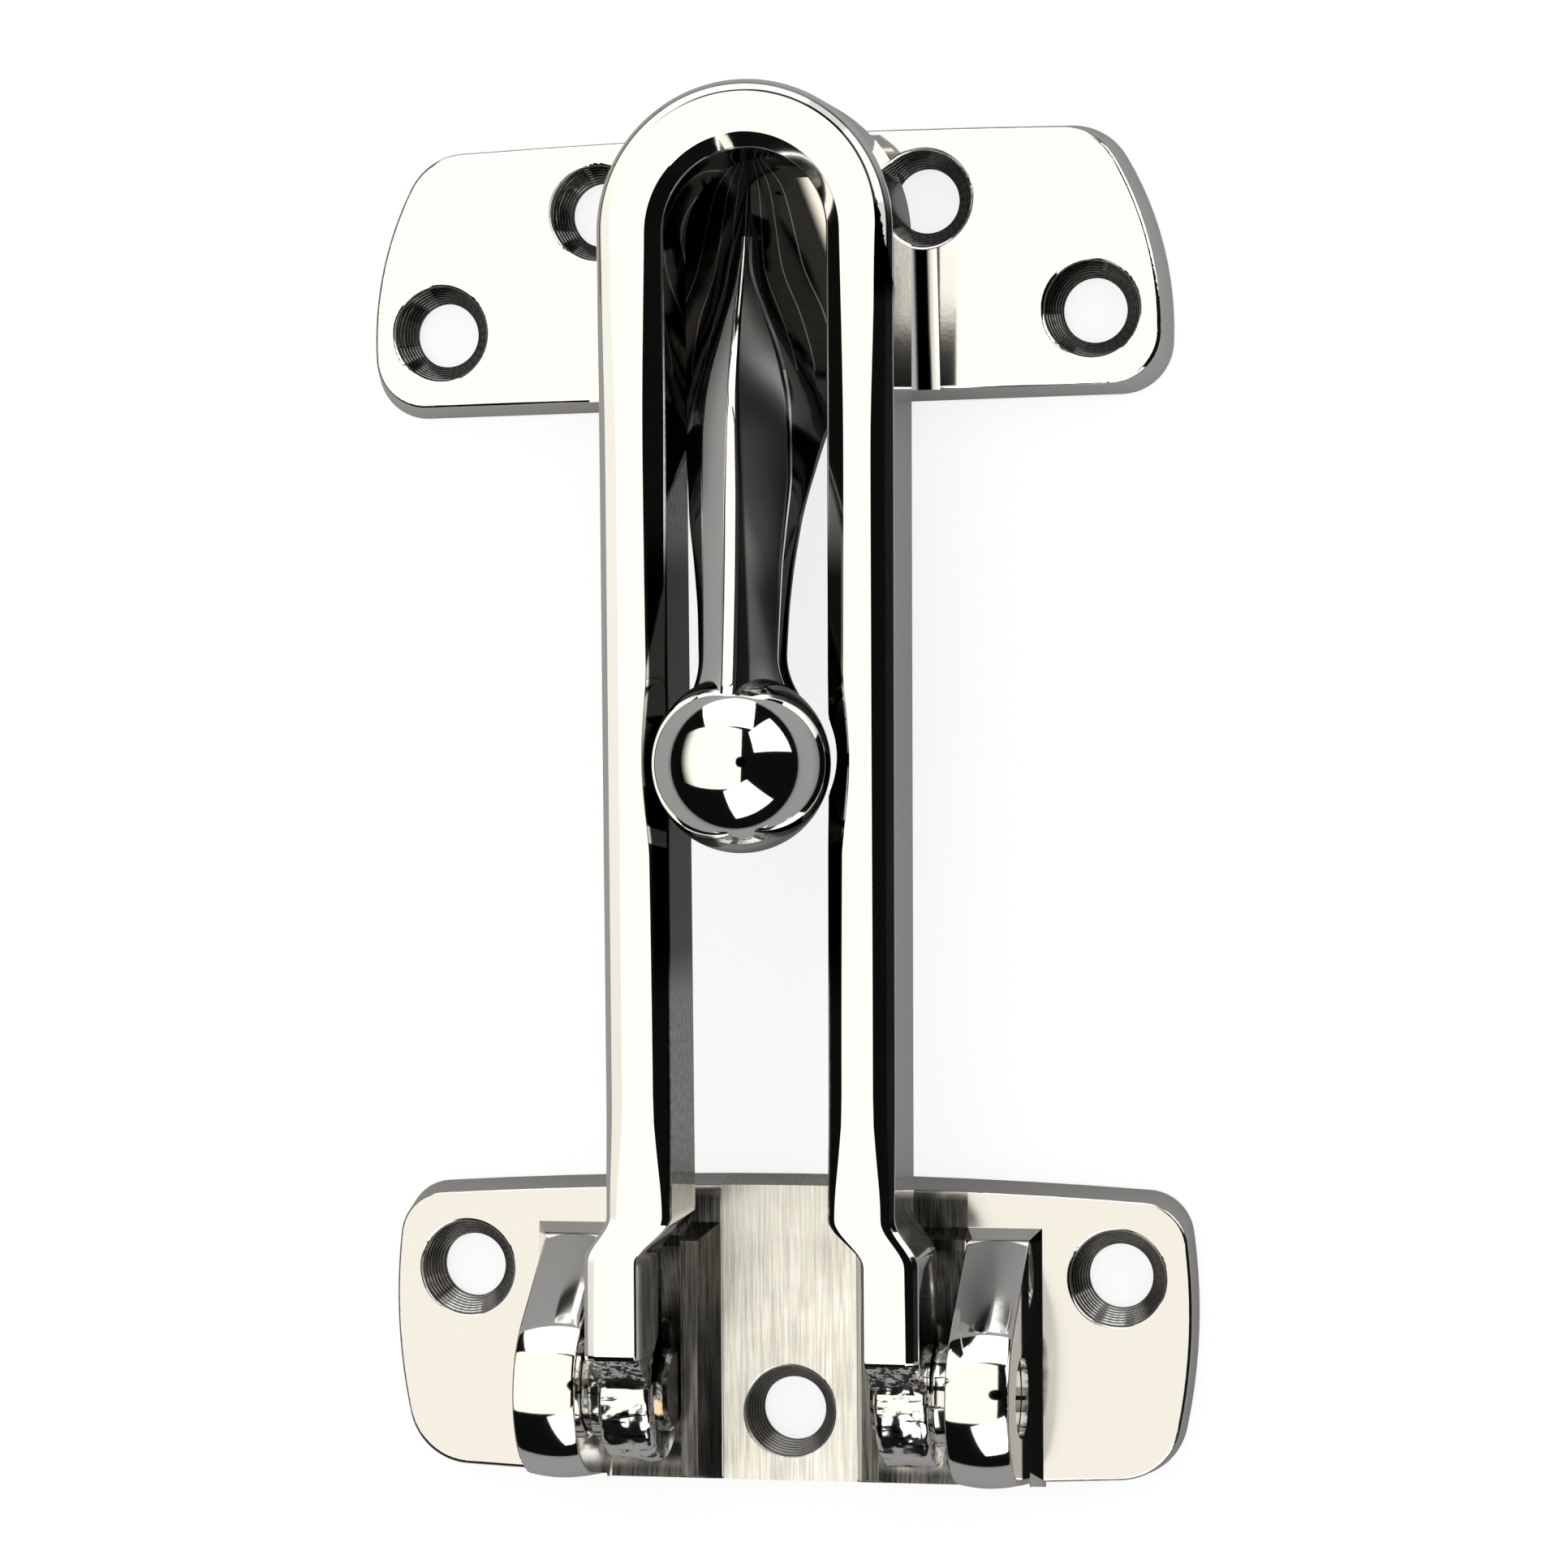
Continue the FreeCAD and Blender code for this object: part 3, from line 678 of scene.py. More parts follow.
CROWN_SIZE = ((2, 1.0), (22, 1.0), (30, 0.62), (38, 0.5), (42, 0.35), (45, 0.15), (51.3, 0.1))
BOW = ((2, 0.0), (22, 0.0), (31, 1.0), (51.3, 1.0))
FACET_STEPS = (0.04, 0.5, 0.94, 0.985)
FLANK_STEPS = (0.05, 0.1, 0.16, 0.22, 0.28, 0.295, 0.36, 0.44, 0.52, 0.535, 0.6, 0.68, 0.76, 0.775,
               0.83, 0.88, 0.94, 1.0)


def neck_half(distance):
    """Right half of a section of the arm, in mm, from its ridge round to the middle of its back."""
    flare = 0.9 * max(0.0, 1.0 - max(0.0, distance - 5.6) / 3.2) ** 2
    ridge, shoulder, fall, side, side_z, rear, size, bow = (through(distance, stops) for stops in (
        RIDGE, SHOULDER, SHOULDER_DROP, SIDE, SIDE_HEIGHT, REAR_HEIGHT, CROWN_SIZE, BOW))
    top = ridge + flare
    shoulder += flare
    shoulder_z = ridge - fall
    side += flare
    rear -= flare
    flat = 0.36 * size
    radius = 0.6 * size
    lead = math.radians(12)
    tilt = math.atan2(top - shoulder_z, shoulder)
    edge_z = top - flat * math.tan(lead) / 2

    def on_crown(slope):
        return (flat + radius * (math.sin(slope) - math.sin(lead)),
                edge_z - radius * (math.cos(lead) - math.cos(slope)))

    for attempt in range(4):
        end_x, end_z = on_crown(tilt)
        tilt = math.atan2(end_z - shoulder_z, max(0.02, shoulder - end_x))
    line = []
    for k in range(5):
        x = flat * k / 4
        line.append((x, top - x * x * math.tan(lead) / (2 * flat)))
    line += [on_crown(lead + (tilt - lead) * k / 8) for k in range(1, 9)]
    start_x, start_z = line[-1]
    for part in FACET_STEPS:
        line.append((start_x + (shoulder - start_x) * part, start_z + (shoulder_z - start_z) * part))
    hold_x = shoulder + (side - shoulder) * (0.95 - 0.7 * bow)
    hold_z = shoulder_z - (shoulder_z - side_z) * (0.35 + 0.5 * bow)
    for t in FLANK_STEPS:
        line.append(((1 - t) ** 2 * shoulder + 2 * t * (1 - t) * hold_x + t * t * side,
                     (1 - t) ** 2 * shoulder_z + 2 * t * (1 - t) * hold_z + t * t * side_z))
    for k in range(1, 7):
        turn = math.pi / 2 * k / 6
        line.append((side * (1 - 0.4 * (1 - math.cos(turn))), side_z - (side_z - rear) * math.sin(turn)))
    line.append((0.3 * side, rear))
    return line


# The arm's strips carry painted light and shade: polished nickel, painted shade, painted highlight lines, a
# lit left facet, a shaded right facet and painted highlight lines beside the facets. The fanned strips get
# the painted highlight lines over the root.
NECK_METALS = ("ball_nickel", "root_shade", "root_line", "left_facet", "right_facet", "arm_line")
FANNED_STRIPS = (21, 25, 29)


def neck_metal(out, is_right, along):
    """Metal of a strip of the arm, counted outwards from the ridge, at a distance in mm from the ball. The
    metals paint the arm's light and shade: bright nickel by the ridge, painted shade, painted highlight
    lines, and a lit and a shaded facet.
    """
    fanned = "root_line" if out in FANNED_STRIPS else "root_shade"
    if along > 44.6:
        return fanned
    if out < 12:
        bright_strips = 12 - max(0.0, along - 40) * 2.4
        return "root_shade" if is_right and out > 4 or out > bright_strips else "ball_nickel"
    if out < 16:
        return "right_facet" if is_right else "left_facet"
    if out == (17 if is_right else 16):
        return "arm_line" if along < 33 else "root_line"
    return fanned if along > 33 else "root_shade"


def make_neck(sizes):
    """Swan-neck arm and its fanned root."""
    stations = [4.6 + 0.2 * k for k in range(24)]
    stations += [9.4 + 0.5 * k for k in range(81)]
    stations += [49.9 + 0.2 * k for k in range(8)]
    points = []
    for distance in stations:
        half = neck_half(distance)
        lean = -sizes.lean * min(1.0, distance * MM / sizes.rise) ** 2
        row = [(-x, z) for x, z in reversed(half[1:])] + half
        points += [plate_spot(sizes, lean + x * MM, distance * MM, z * MM) for x, z in row]
    count = len(row)
    middle = count // 2
    faces = grid_faces(len(stations), count)
    metals = []
    for low, high in zip(stations, stations[1:]):
        for j in range(count):
            k = (j + 1) % count
            out = min(abs(j - middle), abs(k - middle)) if k else count
            metals.append(neck_metal(out, j >= middle, (low + high) / 2))
    last = (len(stations) - 1) * count
    faces.append(tuple(range(last, last + count)))
    metals.append("root_shade")
    neck = add_metals(mesh_object("neck", points, faces, True), *NECK_METALS)
    neck.data.polygons.foreach_set("material_index", [NECK_METALS.index(metal) for metal in metals])
    face_outwards(neck.data, merged=False)
    neck.data.set_sharp_from_angle(angle=math.radians(32))
    return neck


def make_ball(sizes):
    """Round end of the arm."""
    ball = mesh_object("ball", [], [])
    work = bmesh.new()
    bmesh.ops.create_uvsphere(work, u_segments=128, v_segments=64, radius=sizes.ball_radius)
    work.to_mesh(ball.data)
    work.free()
    ball.data.transform(Matrix.Translation(BALL))
    ball.data.polygons.foreach_set("use_smooth", [True] * len(ball.data.polygons))
    return add_metals(ball, "ball_skin")


def make_root_floor(sizes):
    """Flat end of the raised root below the bar's arch, open beside the arm and painted dark elsewhere as
    shade.
    """
    half = 9.3 * MM
    open_side = 0.6 * MM - sizes.lean
    open_end = 49.4 * MM
    outline = ((44.6, 6.99), (50.6, 6.99), (51.2, 6.7), (53.0, 3.0), (44.6, 3.0))
    points = [plate_spot(sizes, across - sizes.lean, distance * MM, z * MM)
              for across in (-half, half) for distance, z in outline]
    count = len(outline)
    faces = [tuple(range(count)), tuple(reversed(range(count, 2 * count))),
             *grid_faces(2, count, corner_order(True))]
    floor = mesh_object("root_floor", points, faces)
    face_outwards(floor.data)
    work = bmesh.new()
    work.from_mesh(floor.data)
    ball_spot = plate_spot(sizes, 0, 0, 0)
    for across, along in ((open_side, 0), (0, open_end)):
        spot = plate_spot(sizes, across, along, 0)
        bmesh.ops.bisect_plane(work, geom=[*work.verts, *work.edges, *work.faces], plane_co=spot,
                               plane_no=(spot - ball_spot).normalized())
    for face in work.faces:
        across, along = plate_local(sizes, face.calc_center_median())
        face.material_index = 0 if across > open_side and along < open_end else 1
    work.to_mesh(floor.data)
    work.free()
    return add_metals(floor, "root_glow", "root_shade")


def kept_copy(node, name, material, keep):
    """Merged copy of those faces of a loaded part whose centres are kept, with their own normals."""
    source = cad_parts[node].data
    normals = [tuple(n.vector) for n in source.corner_normals]
    index = {}
    points = []
    faces = []
    kept = []
    for face in source.polygons:
        if not keep(face.center):
            continue
        corners = []
        for loop in face.loop_indices:
            spot = source.vertices[source.loops[loop].vertex_index].co
            key = tuple(round(value * 1e6) for value in spot)
            if key not in index:
                index[key] = len(points)
                points.append(spot)
            corners.append(index[key])
        if len(set(corners)) == len(corners):
            faces.append(tuple(corners))
            kept += [normals[loop] for loop in face.loop_indices]
    made = mesh_object(name, points, faces, True)
    made.data.normals_split_custom_set(kept)
    return add_metals(made, material)


class GUARD_OT_ball_plate(Operator):
    """Make the ball plate with its smooth ball, crisp ridged arm and fanned root"""

    bl_idname = "guard.ball_plate"
    bl_label = "Ball plate"

    def execute(self, context):
        sizes = context.scene.guard_sizes

        def keep(centre):
            """True for the plate and its mound, without the arm and the ball."""
            return centre.z <= 7.02 * MM and plate_local(sizes, centre)[1] >= 30.4 * MM

        pieces = [kept_copy("ball_plate", "plate", "ball_plate_nickel", keep)]
        pieces += [make_neck(sizes), make_ball(sizes), make_root_floor(sizes)]
        plate = joined("ball_plate_finished", pieces)
        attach(plate, "plates")
        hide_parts("ball_plate")
        return {"FINISHED"}


def ear_ends(sizes):
    """Angles at which the round of an ear runs into its foot line and its ramp."""
    made = []
    for y, z in ((sizes.ear_foot, sizes.plate), (sizes.ramp_foot, sizes.pad_top)):
        away = Vector((y - sizes.pivot_y, z - sizes.pivot_z))
        made.append((math.atan2(away.y, away.x), math.acos(sizes.ear_radius / away.length)))
    (foot, foot_spread), (ramp, ramp_spread) = made
    return foot + math.tau - foot_spread, ramp + ramp_spread


def ear_inset(sizes, centre):
    """Depth of a point below the outline of an ear."""
    foot, ramp = ear_ends(sizes)
    away = Vector((centre.y - sizes.pivot_y, centre.z - sizes.pivot_z))
    turn = math.atan2(away.y, away.x) % math.tau
    if turn > 1.5 * math.pi:
        turn = ramp
    nearest = min(max(turn, ramp), foot)
    return sizes.ear_radius - away.dot(Vector((math.cos(nearest), math.sin(nearest))))


def crown_profile(sizes):
    """Places across an ear's domed crown and their depths below its outline."""
    half = (sizes.ear_outer - sizes.ear_inner) / 2
    tilt = sizes.ear_dome
    bend = math.tan(tilt) / 2
    corner = (sizes.ear_round - bend * half) / (math.cos(tilt) - bend * (1 - math.sin(tilt)))
    flat = half - corner * (1 - math.sin(tilt))
    right = [(flat * k / 9, bend * flat * (k / 9) ** 2) for k in range(10)]
    for k in range(1, 7):
        turn = tilt + (math.pi / 2 - tilt) * k / 6
        right.append((flat + corner * (math.sin(turn) - math.sin(tilt)),
                      bend * flat + corner * (math.cos(tilt) - math.cos(turn))))
    return [(-across, depth) for across, depth in reversed(right[1:])] + right


def ear_crown(sizes, side):
    """Domed crown of an ear from its foot over its round to the end of its ramp."""
    foot, ramp = ear_ends(sizes)
    profile = crown_profile(sizes)
    middle = (sizes.ear_outer + sizes.ear_inner) / 2
    pad = sizes.pad_top
    rows = []

    def on_round(turn, depth=0):
        reach = sizes.ear_radius - depth
        return sizes.pivot_y + reach * math.cos(turn), sizes.pivot_z + reach * math.sin(turn)

    def add_line(start, end, turn, steps):
        """Rows inside a straight run between two places, sunk square to it."""
        for k in range(1, steps):
            y, z = (a + (b - a) * k / steps for a, b in zip(start, end))
            rows.append([(y - math.cos(turn) * depth, z - math.sin(turn) * depth)
                         for across, depth in profile])

    top = on_round(foot)
    step = sizes.ear_foot + (top[0] - sizes.ear_foot) * (pad - sizes.plate) / (top[1] - sizes.plate)
    rows.append([(sizes.ear_foot, sizes.plate)] * len(profile))
    rows.append([(step, pad)] * len(profile))
    rows.append([(step - depth / math.cos(foot), pad) for across, depth in profile])
    add_line((step, pad), top, foot, 6)
    for k in range(65):
        turn = foot + (ramp - foot) * k / 64
        rows.append([on_round(turn, depth) for across, depth in profile])
    add_line(on_round(ramp), (sizes.ramp_foot, pad), ramp, 9)
    rows.append([(sizes.ramp_foot - depth / math.cos(ramp), pad) for across, depth in profile])
    rows.append([(sizes.ramp_foot, pad)] * len(profile))
    points = [(side * (middle + across), y, z)
              for row in rows for (across, depth), (y, z) in zip(profile, row)]
    faces = grid_faces(len(rows), len(profile), corner_order(side > 0), closed=False)
    crown = mesh_object("crown", points, faces, True)
    centre = crown.data.polygons[len(faces) // 2]
    if centre.normal.dot(centre.center - Vector((centre.center.x, sizes.pivot_y, sizes.pivot_z))) < 0:
        crown.data.flip_normals()
    crown.data.set_sharp_from_angle(angle=math.radians(40))
    return add_metals(crown, "hinge_plate_nickel")


class GUARD_OT_hinge_plate(Operator):
    """Make the hinge plate with the domed crowns of its two ears"""

    bl_idname = "guard.hinge_plate"
    bl_label = "Hinge plate"

    def execute(self, context):
        sizes = context.scene.guard_sizes
        edge = 0.03 * MM

        def keep(centre):
            """True outside the two crowns."""
            is_between = sizes.ear_inner + edge < abs(centre.x) < sizes.ear_outer - edge
            is_above = centre.z > sizes.plate + edge and centre.y < sizes.ramp_foot - edge
            return not (is_between and is_above and ear_inset(sizes, centre) < sizes.ear_round + edge / 2)

        pieces = [kept_copy("base_plate", "hinge_plate", "hinge_plate_nickel", keep)]
        pieces += [ear_crown(sizes, side) for side in (-1, 1)]
        plate = joined("hinge_plate_finished", pieces)
        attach(plate, "plates")
        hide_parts("base_plate")
        return {"FINISHED"}


def buffed_group():
    """Slow waves and fine buffing marks of polished plating."""
    net, start, end = new_tree(
        "buffed_plating", "Shader", {"Waves": 0.5, "Marks": 0.05, "Roughness": 0.06, "Spread": 0.04},
        {"Height": "Float", "Roughness": "Float"})
    place = net.place()
    waves = net.times(net.grain(place, 120.0, 1.0), start["Waves"])
    height = net.scaled(net.grain(place, 2600.0, 4.0, 0.6), start["Marks"], waves)
    haze = net.less(net.grain(place, 70.0, 3.0), 0.5)
    rough = net.scaled(haze, start["Spread"], start["Roughness"])
    net.fill(end, Height=height, Roughness=net.most(rough, 0.02))


def screw_group():
    """Masks of the countersinks of a plate whose outer and second holes lie in mirrored pairs."""
    net, start, end = new_tree(
        "turned_countersinks", "Shader",
        {"Place": "Vector", "Outer Side": 0.0286, "Second Side": 0.0, "Second Height": 0.0, "Rim": 0.0044,
         "Face": 0.0032, "Pitch": 0.0002}, {"Inside": "Float", "Rings": "Float", "Lit": "Float"})
    x, y, z = net.axes(start["Place"])
    sides = [net.less(net.size(x), start[label]) for label in ("Outer Side", "Second Side")]
    heights = [y, net.less(y, start["Second Height"])]
    radii = [net.diagonal(a, b) for a, b in zip(sides, heights)]
    radius = net.math("MINIMUM", *radii)
    is_outer = net.math("LESS_THAN", *radii)
    level = net.plus(net.times(is_outer, heights[0]), net.times(net.rest(is_outer), heights[1]))
    # Lit marks the lower sector of each countersink, which gets a painted highlight.
    lit = net.ramp(net.math("DIVIDE", level, net.most(radius, 0.1 * MM)), -0.68, -0.9)
    below = net.fade(net.less(z, start["Face"]), -0.06, -0.3)
    within = net.fade(net.less(radius, start["Rim"]), 0.0, -0.22)
    turns = net.times(net.math("DIVIDE", z, start["Pitch"]), math.tau)
    rings = net.scaled(net.math("SINE", turns), 0.5, 0.5)
    net.fill(end, Inside=net.times(below, within), Rings=rings, Lit=lit)


def streak_group():
    """Brushed streaks that run up the part, and soft clouds over them."""
    net, start, end = new_tree("brushed_streaks", "Shader", {"Place": "Vector", "Fineness": 1.0},
                               {"Streaks": "Float", "Clouds": "Float"})
    spread = net.add("ShaderNodeCombineXYZ", net.times(start["Fineness"], 5200.0), 150.0, 900.0)
    streaks = net.grain(net.vector("MULTIPLY", start["Place"], spread), 1.0, 5.0, 0.65)
    clouds = net.grain(start["Place"], 160.0, 3.0, 0.6)
    net.fill(end, Streaks=net.ramp(streaks, 0.3, 0.7), Clouds=net.ramp(clouds, 0.3, 0.7))


def finish_metal(net, tint, rough=None, waves=0.4, metal=1.0, haze=0.05):
    """Metal with buffing marks. Its roughness is the spotted haze unless one is given."""
    skin = net.group("buffed_plating", Waves=waves, Marks=0.03, Roughness=haze, Spread=0.03)
    bump = net.add("ShaderNodeBump", Height=skin["Height"], Strength=1.0, Distance=0.02 * MM)
    net.surface(net.add("ShaderNodeBsdfPrincipled", Base_Color=tint, Metallic=metal, Normal=bump,
                        Roughness=skin["Roughness"] if rough is None else rough))


def turned_holes(net, place, sizes, tint, ring_tint, lit_share, **holes):
    """Tint with turned holes laid over it, painted dark as shade with lighter turned rings and a painted
    highlight in their lit sector, and the share of bare matt metal in them.
    """
    holes = net.group("turned_countersinks", Place=place, Outer_Side=sizes.screw_spacing / 2,
                      Pitch=sizes.turned_pitch, **holes)
    streaks = net.group("brushed_streaks", Place=place, Fineness=1.5)
    grain = net.times(holes["Rings"], net.scaled(streaks["Clouds"], 0.6, 0.4))
    dark = net.mix(grain, (0.03, 0.029, 0.027), ring_tint)
    bright = net.mix(holes["Rings"], (0.3, 0.29, 0.27), (1.0, 0.99, 0.95))
    lit = net.times(holes["Lit"], lit_share)
    plain = net.times(lit, holes["Inside"], 0.15)
    return net.mix(holes["Inside"], tint, net.mix(lit, dark, bright)), plain


def hinge_plate_nickel(net, sizes, colours):
    """Satin face, brushed channel with painted shade towards its top, pockets painted dark as shade, and
    turned holes with painted shade and a painted highlight, of the hinge plate.
    """
    place = net.place()
    x, tall, out = net.axes(place)
    side = net.size(x)
    face = sizes.plate
    streaks = net.group("brushed_streaks", Place=place, Fineness=1.0)
    satin = net.fade(out, 0.3, 0.05, face)
    tint = net.mix(satin, (0.9, 0.89, 0.865), colours.plate_nickel)
    # Dark end of the brushing grain, also used for the painted shade below.
    dark_grain_and_shade = (0.5, 0.49, 0.45)
    brushing = net.scaled(streaks["Streaks"], 0.7, net.times(streaks["Clouds"], 0.3))
    brushed = net.mix(brushing, dark_grain_and_shade, (1.0, 0.99, 0.93))
    # Painted shade: the channel is darkened towards its top.
    brushed = net.mix(net.fade(tall, -3, 7.5, to_high=0.35), brushed, dark_grain_and_shade)
    channel = net.times(net.fade(side, 0.1, -0.05, sizes.channel_half), net.fade(out, -0.08, -0.22, face))
    tint = net.mix(channel, tint, brushed)

    # The slope of the pads above the ears lies in shade.
    pad = net.times(net.band(out, face + 0.06 * MM, sizes.pad_top + 0.05 * MM, 0.04),
                    net.fade(tall, -0.2, 0.0, sizes.ramp_foot), net.fade(side, 9, 10))
    tint = net.mix(pad, tint, (0.2, 0.197, 0.19))
    # Painted shade: the pockets beside the channel are darkened, streaked with the brushing.
    pocket = net.times(net.band(side, sizes.channel_half + 0.05 * MM, sizes.ear_inner - 0.1 * MM, 0.06),
                       net.fade(out, 0.3, 0.5), net.fade(tall, 7.6, 6.4),
                       net.rest(net.times(net.fade(tall, -14.2, -15.2), net.fade(out, 0.2, -0.2, face))))
    tint = net.mix(pocket, tint, net.mix(streaks["Streaks"], (0.03, 0.03, 0.028), (0.2, 0.195, 0.18)))
    (outer_tint, outer_plain), (low_tint, low_plain) = (
        turned_holes(net, place, sizes, tint, (0.75, 0.73, 0.69), 1.0, Second_Height=sizes.low_screw,
                     Rim=rim / 2, Face=level)
        for rim, level in ((sizes.screw_rim, face), (sizes.low_rim, face - sizes.channel)))
    middle = net.fade(side, 8, 7)
    plain = net.scaled(net.less(low_plain, outer_plain), middle, outer_plain)
    rough = net.scaled(satin, 0.07, net.scaled(pocket, 0.16, net.scaled(channel, 0.16, 0.06)))
    finish_metal(net, net.mix(middle, outer_tint, low_tint), rough, metal=net.rest(plain))


def turned_place(net, sizes):
    """Place measured from the ball along the ball plate."""
    moved = net.vector("SUBTRACT", net.place(), (0.0, BALL.y, 0.0))
    return net.add("ShaderNodeVectorRotate", settings={"rotation_type": "Z_AXIS"}, Vector=moved,
                   Angle=-sizes.twist)


def right_facet(net, sizes, colours):
    """Right facet of the arm, with painted shade: black next to the ridge near the ball and grey beyond."""
    across, along, out = net.axes(turned_place(net, sizes))
    share = net.math("DIVIDE", along, sizes.rise)
    off = net.scaled(net.times(share, share), sizes.lean, across)
    edge = net.scaled(share, -1.5 * MM, 1.75 * MM)
    grey = net.fade(net.less(off, edge), -0.1, 0.15)
    finish_metal(net, net.mix(grey, colours.root_shade, colours.right_facet), 0.3)


def root_tint(net, across, along, colours):
    """Tint of the root's flat top, cream in the open and painted dark as shade next to the arm."""
    slant = 0.36
    edge = 5.1 * MM + slant * 43.3 * MM
    is_open = net.fade(net.scaled(along, slant, across), 0.0, 1.2, edge)
    return net.mix(is_open, colours.root_shade, (0.86, 0.83, 0.75))


def root_glow(net, sizes, colours):
    """Open flat of the root beside the arm, which fades into painted shade next to the arm."""
    across, along, out = net.axes(turned_place(net, sizes))
    finish_metal(net, root_tint(net, across, along, colours), 0.12)


def ball_plate_nickel(net, sizes, colours):
    """Bright plating, turned holes with painted shade, and the mound of the ball plate, whose top is painted
    dark next to the arm, with a painted black band of dark reflection down its mostly matt flank.
    """
    turned = turned_place(net, sizes)
    across, along, out = net.axes(turned)
    centred = net.vector("SUBTRACT", turned, (-sizes.lean, sizes.rise, 0.0))
    tint, plain = turned_holes(net, centred, sizes, colours.bar_nickel, (0.5, 0.49, 0.47), 0.0,
                               Second_Side=sizes.upper_spacing / 2, Second_Height=sizes.upper_rise,
                               Rim=sizes.screw_rim / 2, Face=sizes.plate)
    tint = net.mix(net.fade(out, 6.75, 6.9), tint, root_tint(net, across, along, colours))
    # Painted reflection: a black band down the mound's flank, which is made mostly matt round it so that it
    # shows an even light.
    flank = net.times(net.fade(out, 3.205, 3.23), net.fade(out, 6.9, 6.75), net.fade(across, 9.7, 10.1))
    band = net.times(net.band(across, 12.4 * MM, 13.6 * MM, 0.2), flank)
    rough = net.fade(out, 3.35, 3.7, to_low=0.06, to_high=0.2)
    metal = net.rest(net.times(net.less(flank, band), 0.75))
    finish_metal(net, net.mix(band, tint, BLACK), rough, metal=metal)


def bar_nickel(net, sizes, colours):
    """Bright bar with painted dark lines of reflection on its arch bevel, and painted shade in its slot,
    beside the ball and above the knuckles.
    """
    place = net.place()
    x, tall, out = net.axes(place)
    front = sizes.bar_front
    radius = net.diagonal(x, net.most(net.less(tall, sizes.bar_top), 0.0))
    ragged = net.grain(place, 1500.0, 3.0, 0.7)
    inset = net.less(sizes.bar_half, radius)
    arch = net.times(net.fade(tall, 81.5, 84), net.fade(out, -2.0, -1.6, front))

    # A painted dark line, in place of a dark reflection, follows the inner edge of the bevel. It is thin and
    # widens down the right side, raggedly.
    into = net.less(net.fade(tall, 84, 97, to_low=1.42 * MM, to_high=1.05 * MM), inset)
    width = net.fade(tall, 92, 82, to_low=0.14 * MM, to_high=1.5 * MM)
    tear = net.times(net.less(ragged, 0.5), 0.5 * MM)
    width = net.plus(width, net.times(tear, net.fade(tall, 92, 89)))
    width = net.plus(net.times(width, net.fade(x, 0, 2)), net.times(0.1 * MM, net.fade(x, 2, 0)))
    line = net.times(net.fade(into, -0.06, 0.02), net.fade(net.less(into, width), 0.06, -0.02),
                     net.fade(x, -9, -3))

    # A second painted dark line lies where the bevel turns steep, and the bevel between the two is made matt
    # on the right, so that it shows an even light.
    rim = net.less(inset, 0.41 * MM)
    edge = net.times(net.fade(net.size(rim), 0.1, 0.03), 0.8)
    matt = net.times(net.fade(into, -0.02, 0.05), net.fade(rim, -0.04, 0.04), arch, net.fade(x, -6, 0))
    # Painted shade: ragged dark patches on the falling front above the knuckles stand in for the dark
    # reflections of its crumpled surface, which is also rougher there; the slot is darkened beside the ball,
    # and its walls are partly darkened in ragged patches.
    crumple_and_shade = net.times(net.fade(tall, 0.1, -0.15, sizes.flat_end), net.ramp(ragged, 0.56, 0.46))
    hollow = net.times(net.fade(net.size(net.less(tall, BALL.y)), 22, 15), net.fade(net.size(x), 9.2, 8.9),
                       net.fade(out, -0.1, -0.2, front), 0.98)
    wall = net.times(net.fade(radius, 0.1, 0.0, sizes.slot_half), net.fade(tall, 7, 9),
                     net.ramp(ragged, 0.3, 0.7, 0.05, 0.5))
    dark = net.times(net.most(line, edge), arch)
    for shade in (crumple_and_shade, hollow, wall):
        dark = net.most(dark, shade)
    metal = net.rest(net.times(net.less(matt, net.math("MINIMUM", dark, matt)), 0.8))
    finish_metal(net, net.mix(dark, colours.bar_nickel, BLACK), net.scaled(crumple_and_shade, 0.2, 0.055), metal=metal)


def ball_skin(net, sizes, colours):
    """Bright ball with painted shade behind its widest section."""
    out = net.axes(net.place())[2]
    # Painted shade for the back of the ball.
    rear = (0.36, 0.355, 0.34)
    finish_metal(net, net.mix(net.fade(out, 1.2, 3.4, BALL.z), rear, colours.bar_nickel), 0.05)


def knuckle_nickel(net, sizes, colours):
    """Rough cast knuckles with painted dark streaks along the pivot, which stand in for the dark reflections
    of their crumpled surface.
    """
    long = net.vector("MULTIPLY", net.place(), (380.0, 1900.0, 1900.0))
    # Painted dark reflections in streaks along the pivot.
    unshaded = net.ramp(net.grain(long, 1.0, 4.0, 0.65), 0.61, 0.56)
    finish_metal(net, net.mix(unshaded, MOTTLE_AND_SHADE, colours.bar_nickel), 0.12, waves=1.0)


def pin_nickel(net, sizes, colours):
    """Plated pin with brass showing through in small worn spots and a mottled dark tone, and painted shade
    at its outer end, which lies in the ear's bore.
    """
    place = net.place()
    worn = net.ramp(net.grain(place, 420.0, 3.0, 0.6), 0.54, 0.62)
    mottle = net.ramp(net.grain(place, 900.0, 4.0, 0.7), 0.35, 0.65)
    tint = net.mix(worn, net.mix(mottle, MOTTLE_AND_SHADE, (0.6, 0.59, 0.56)), colours.brass)
    # Painted shade at the outer end, inside the ear's bore.
    end = net.fade(net.size(net.axes(place)[0]), 19, 20, to_high=0.8)
    finish_metal(net, net.mix(end, tint, MOTTLE_AND_SHADE), 0.16, waves=1.2)


# Each metal is named as the function that makes it. The plain ones have a colour of that name, or nickel's.
METALS = (bar_nickel, knuckle_nickel, ball_skin, root_glow, right_facet, hinge_plate_nickel,
          ball_plate_nickel, pin_nickel)
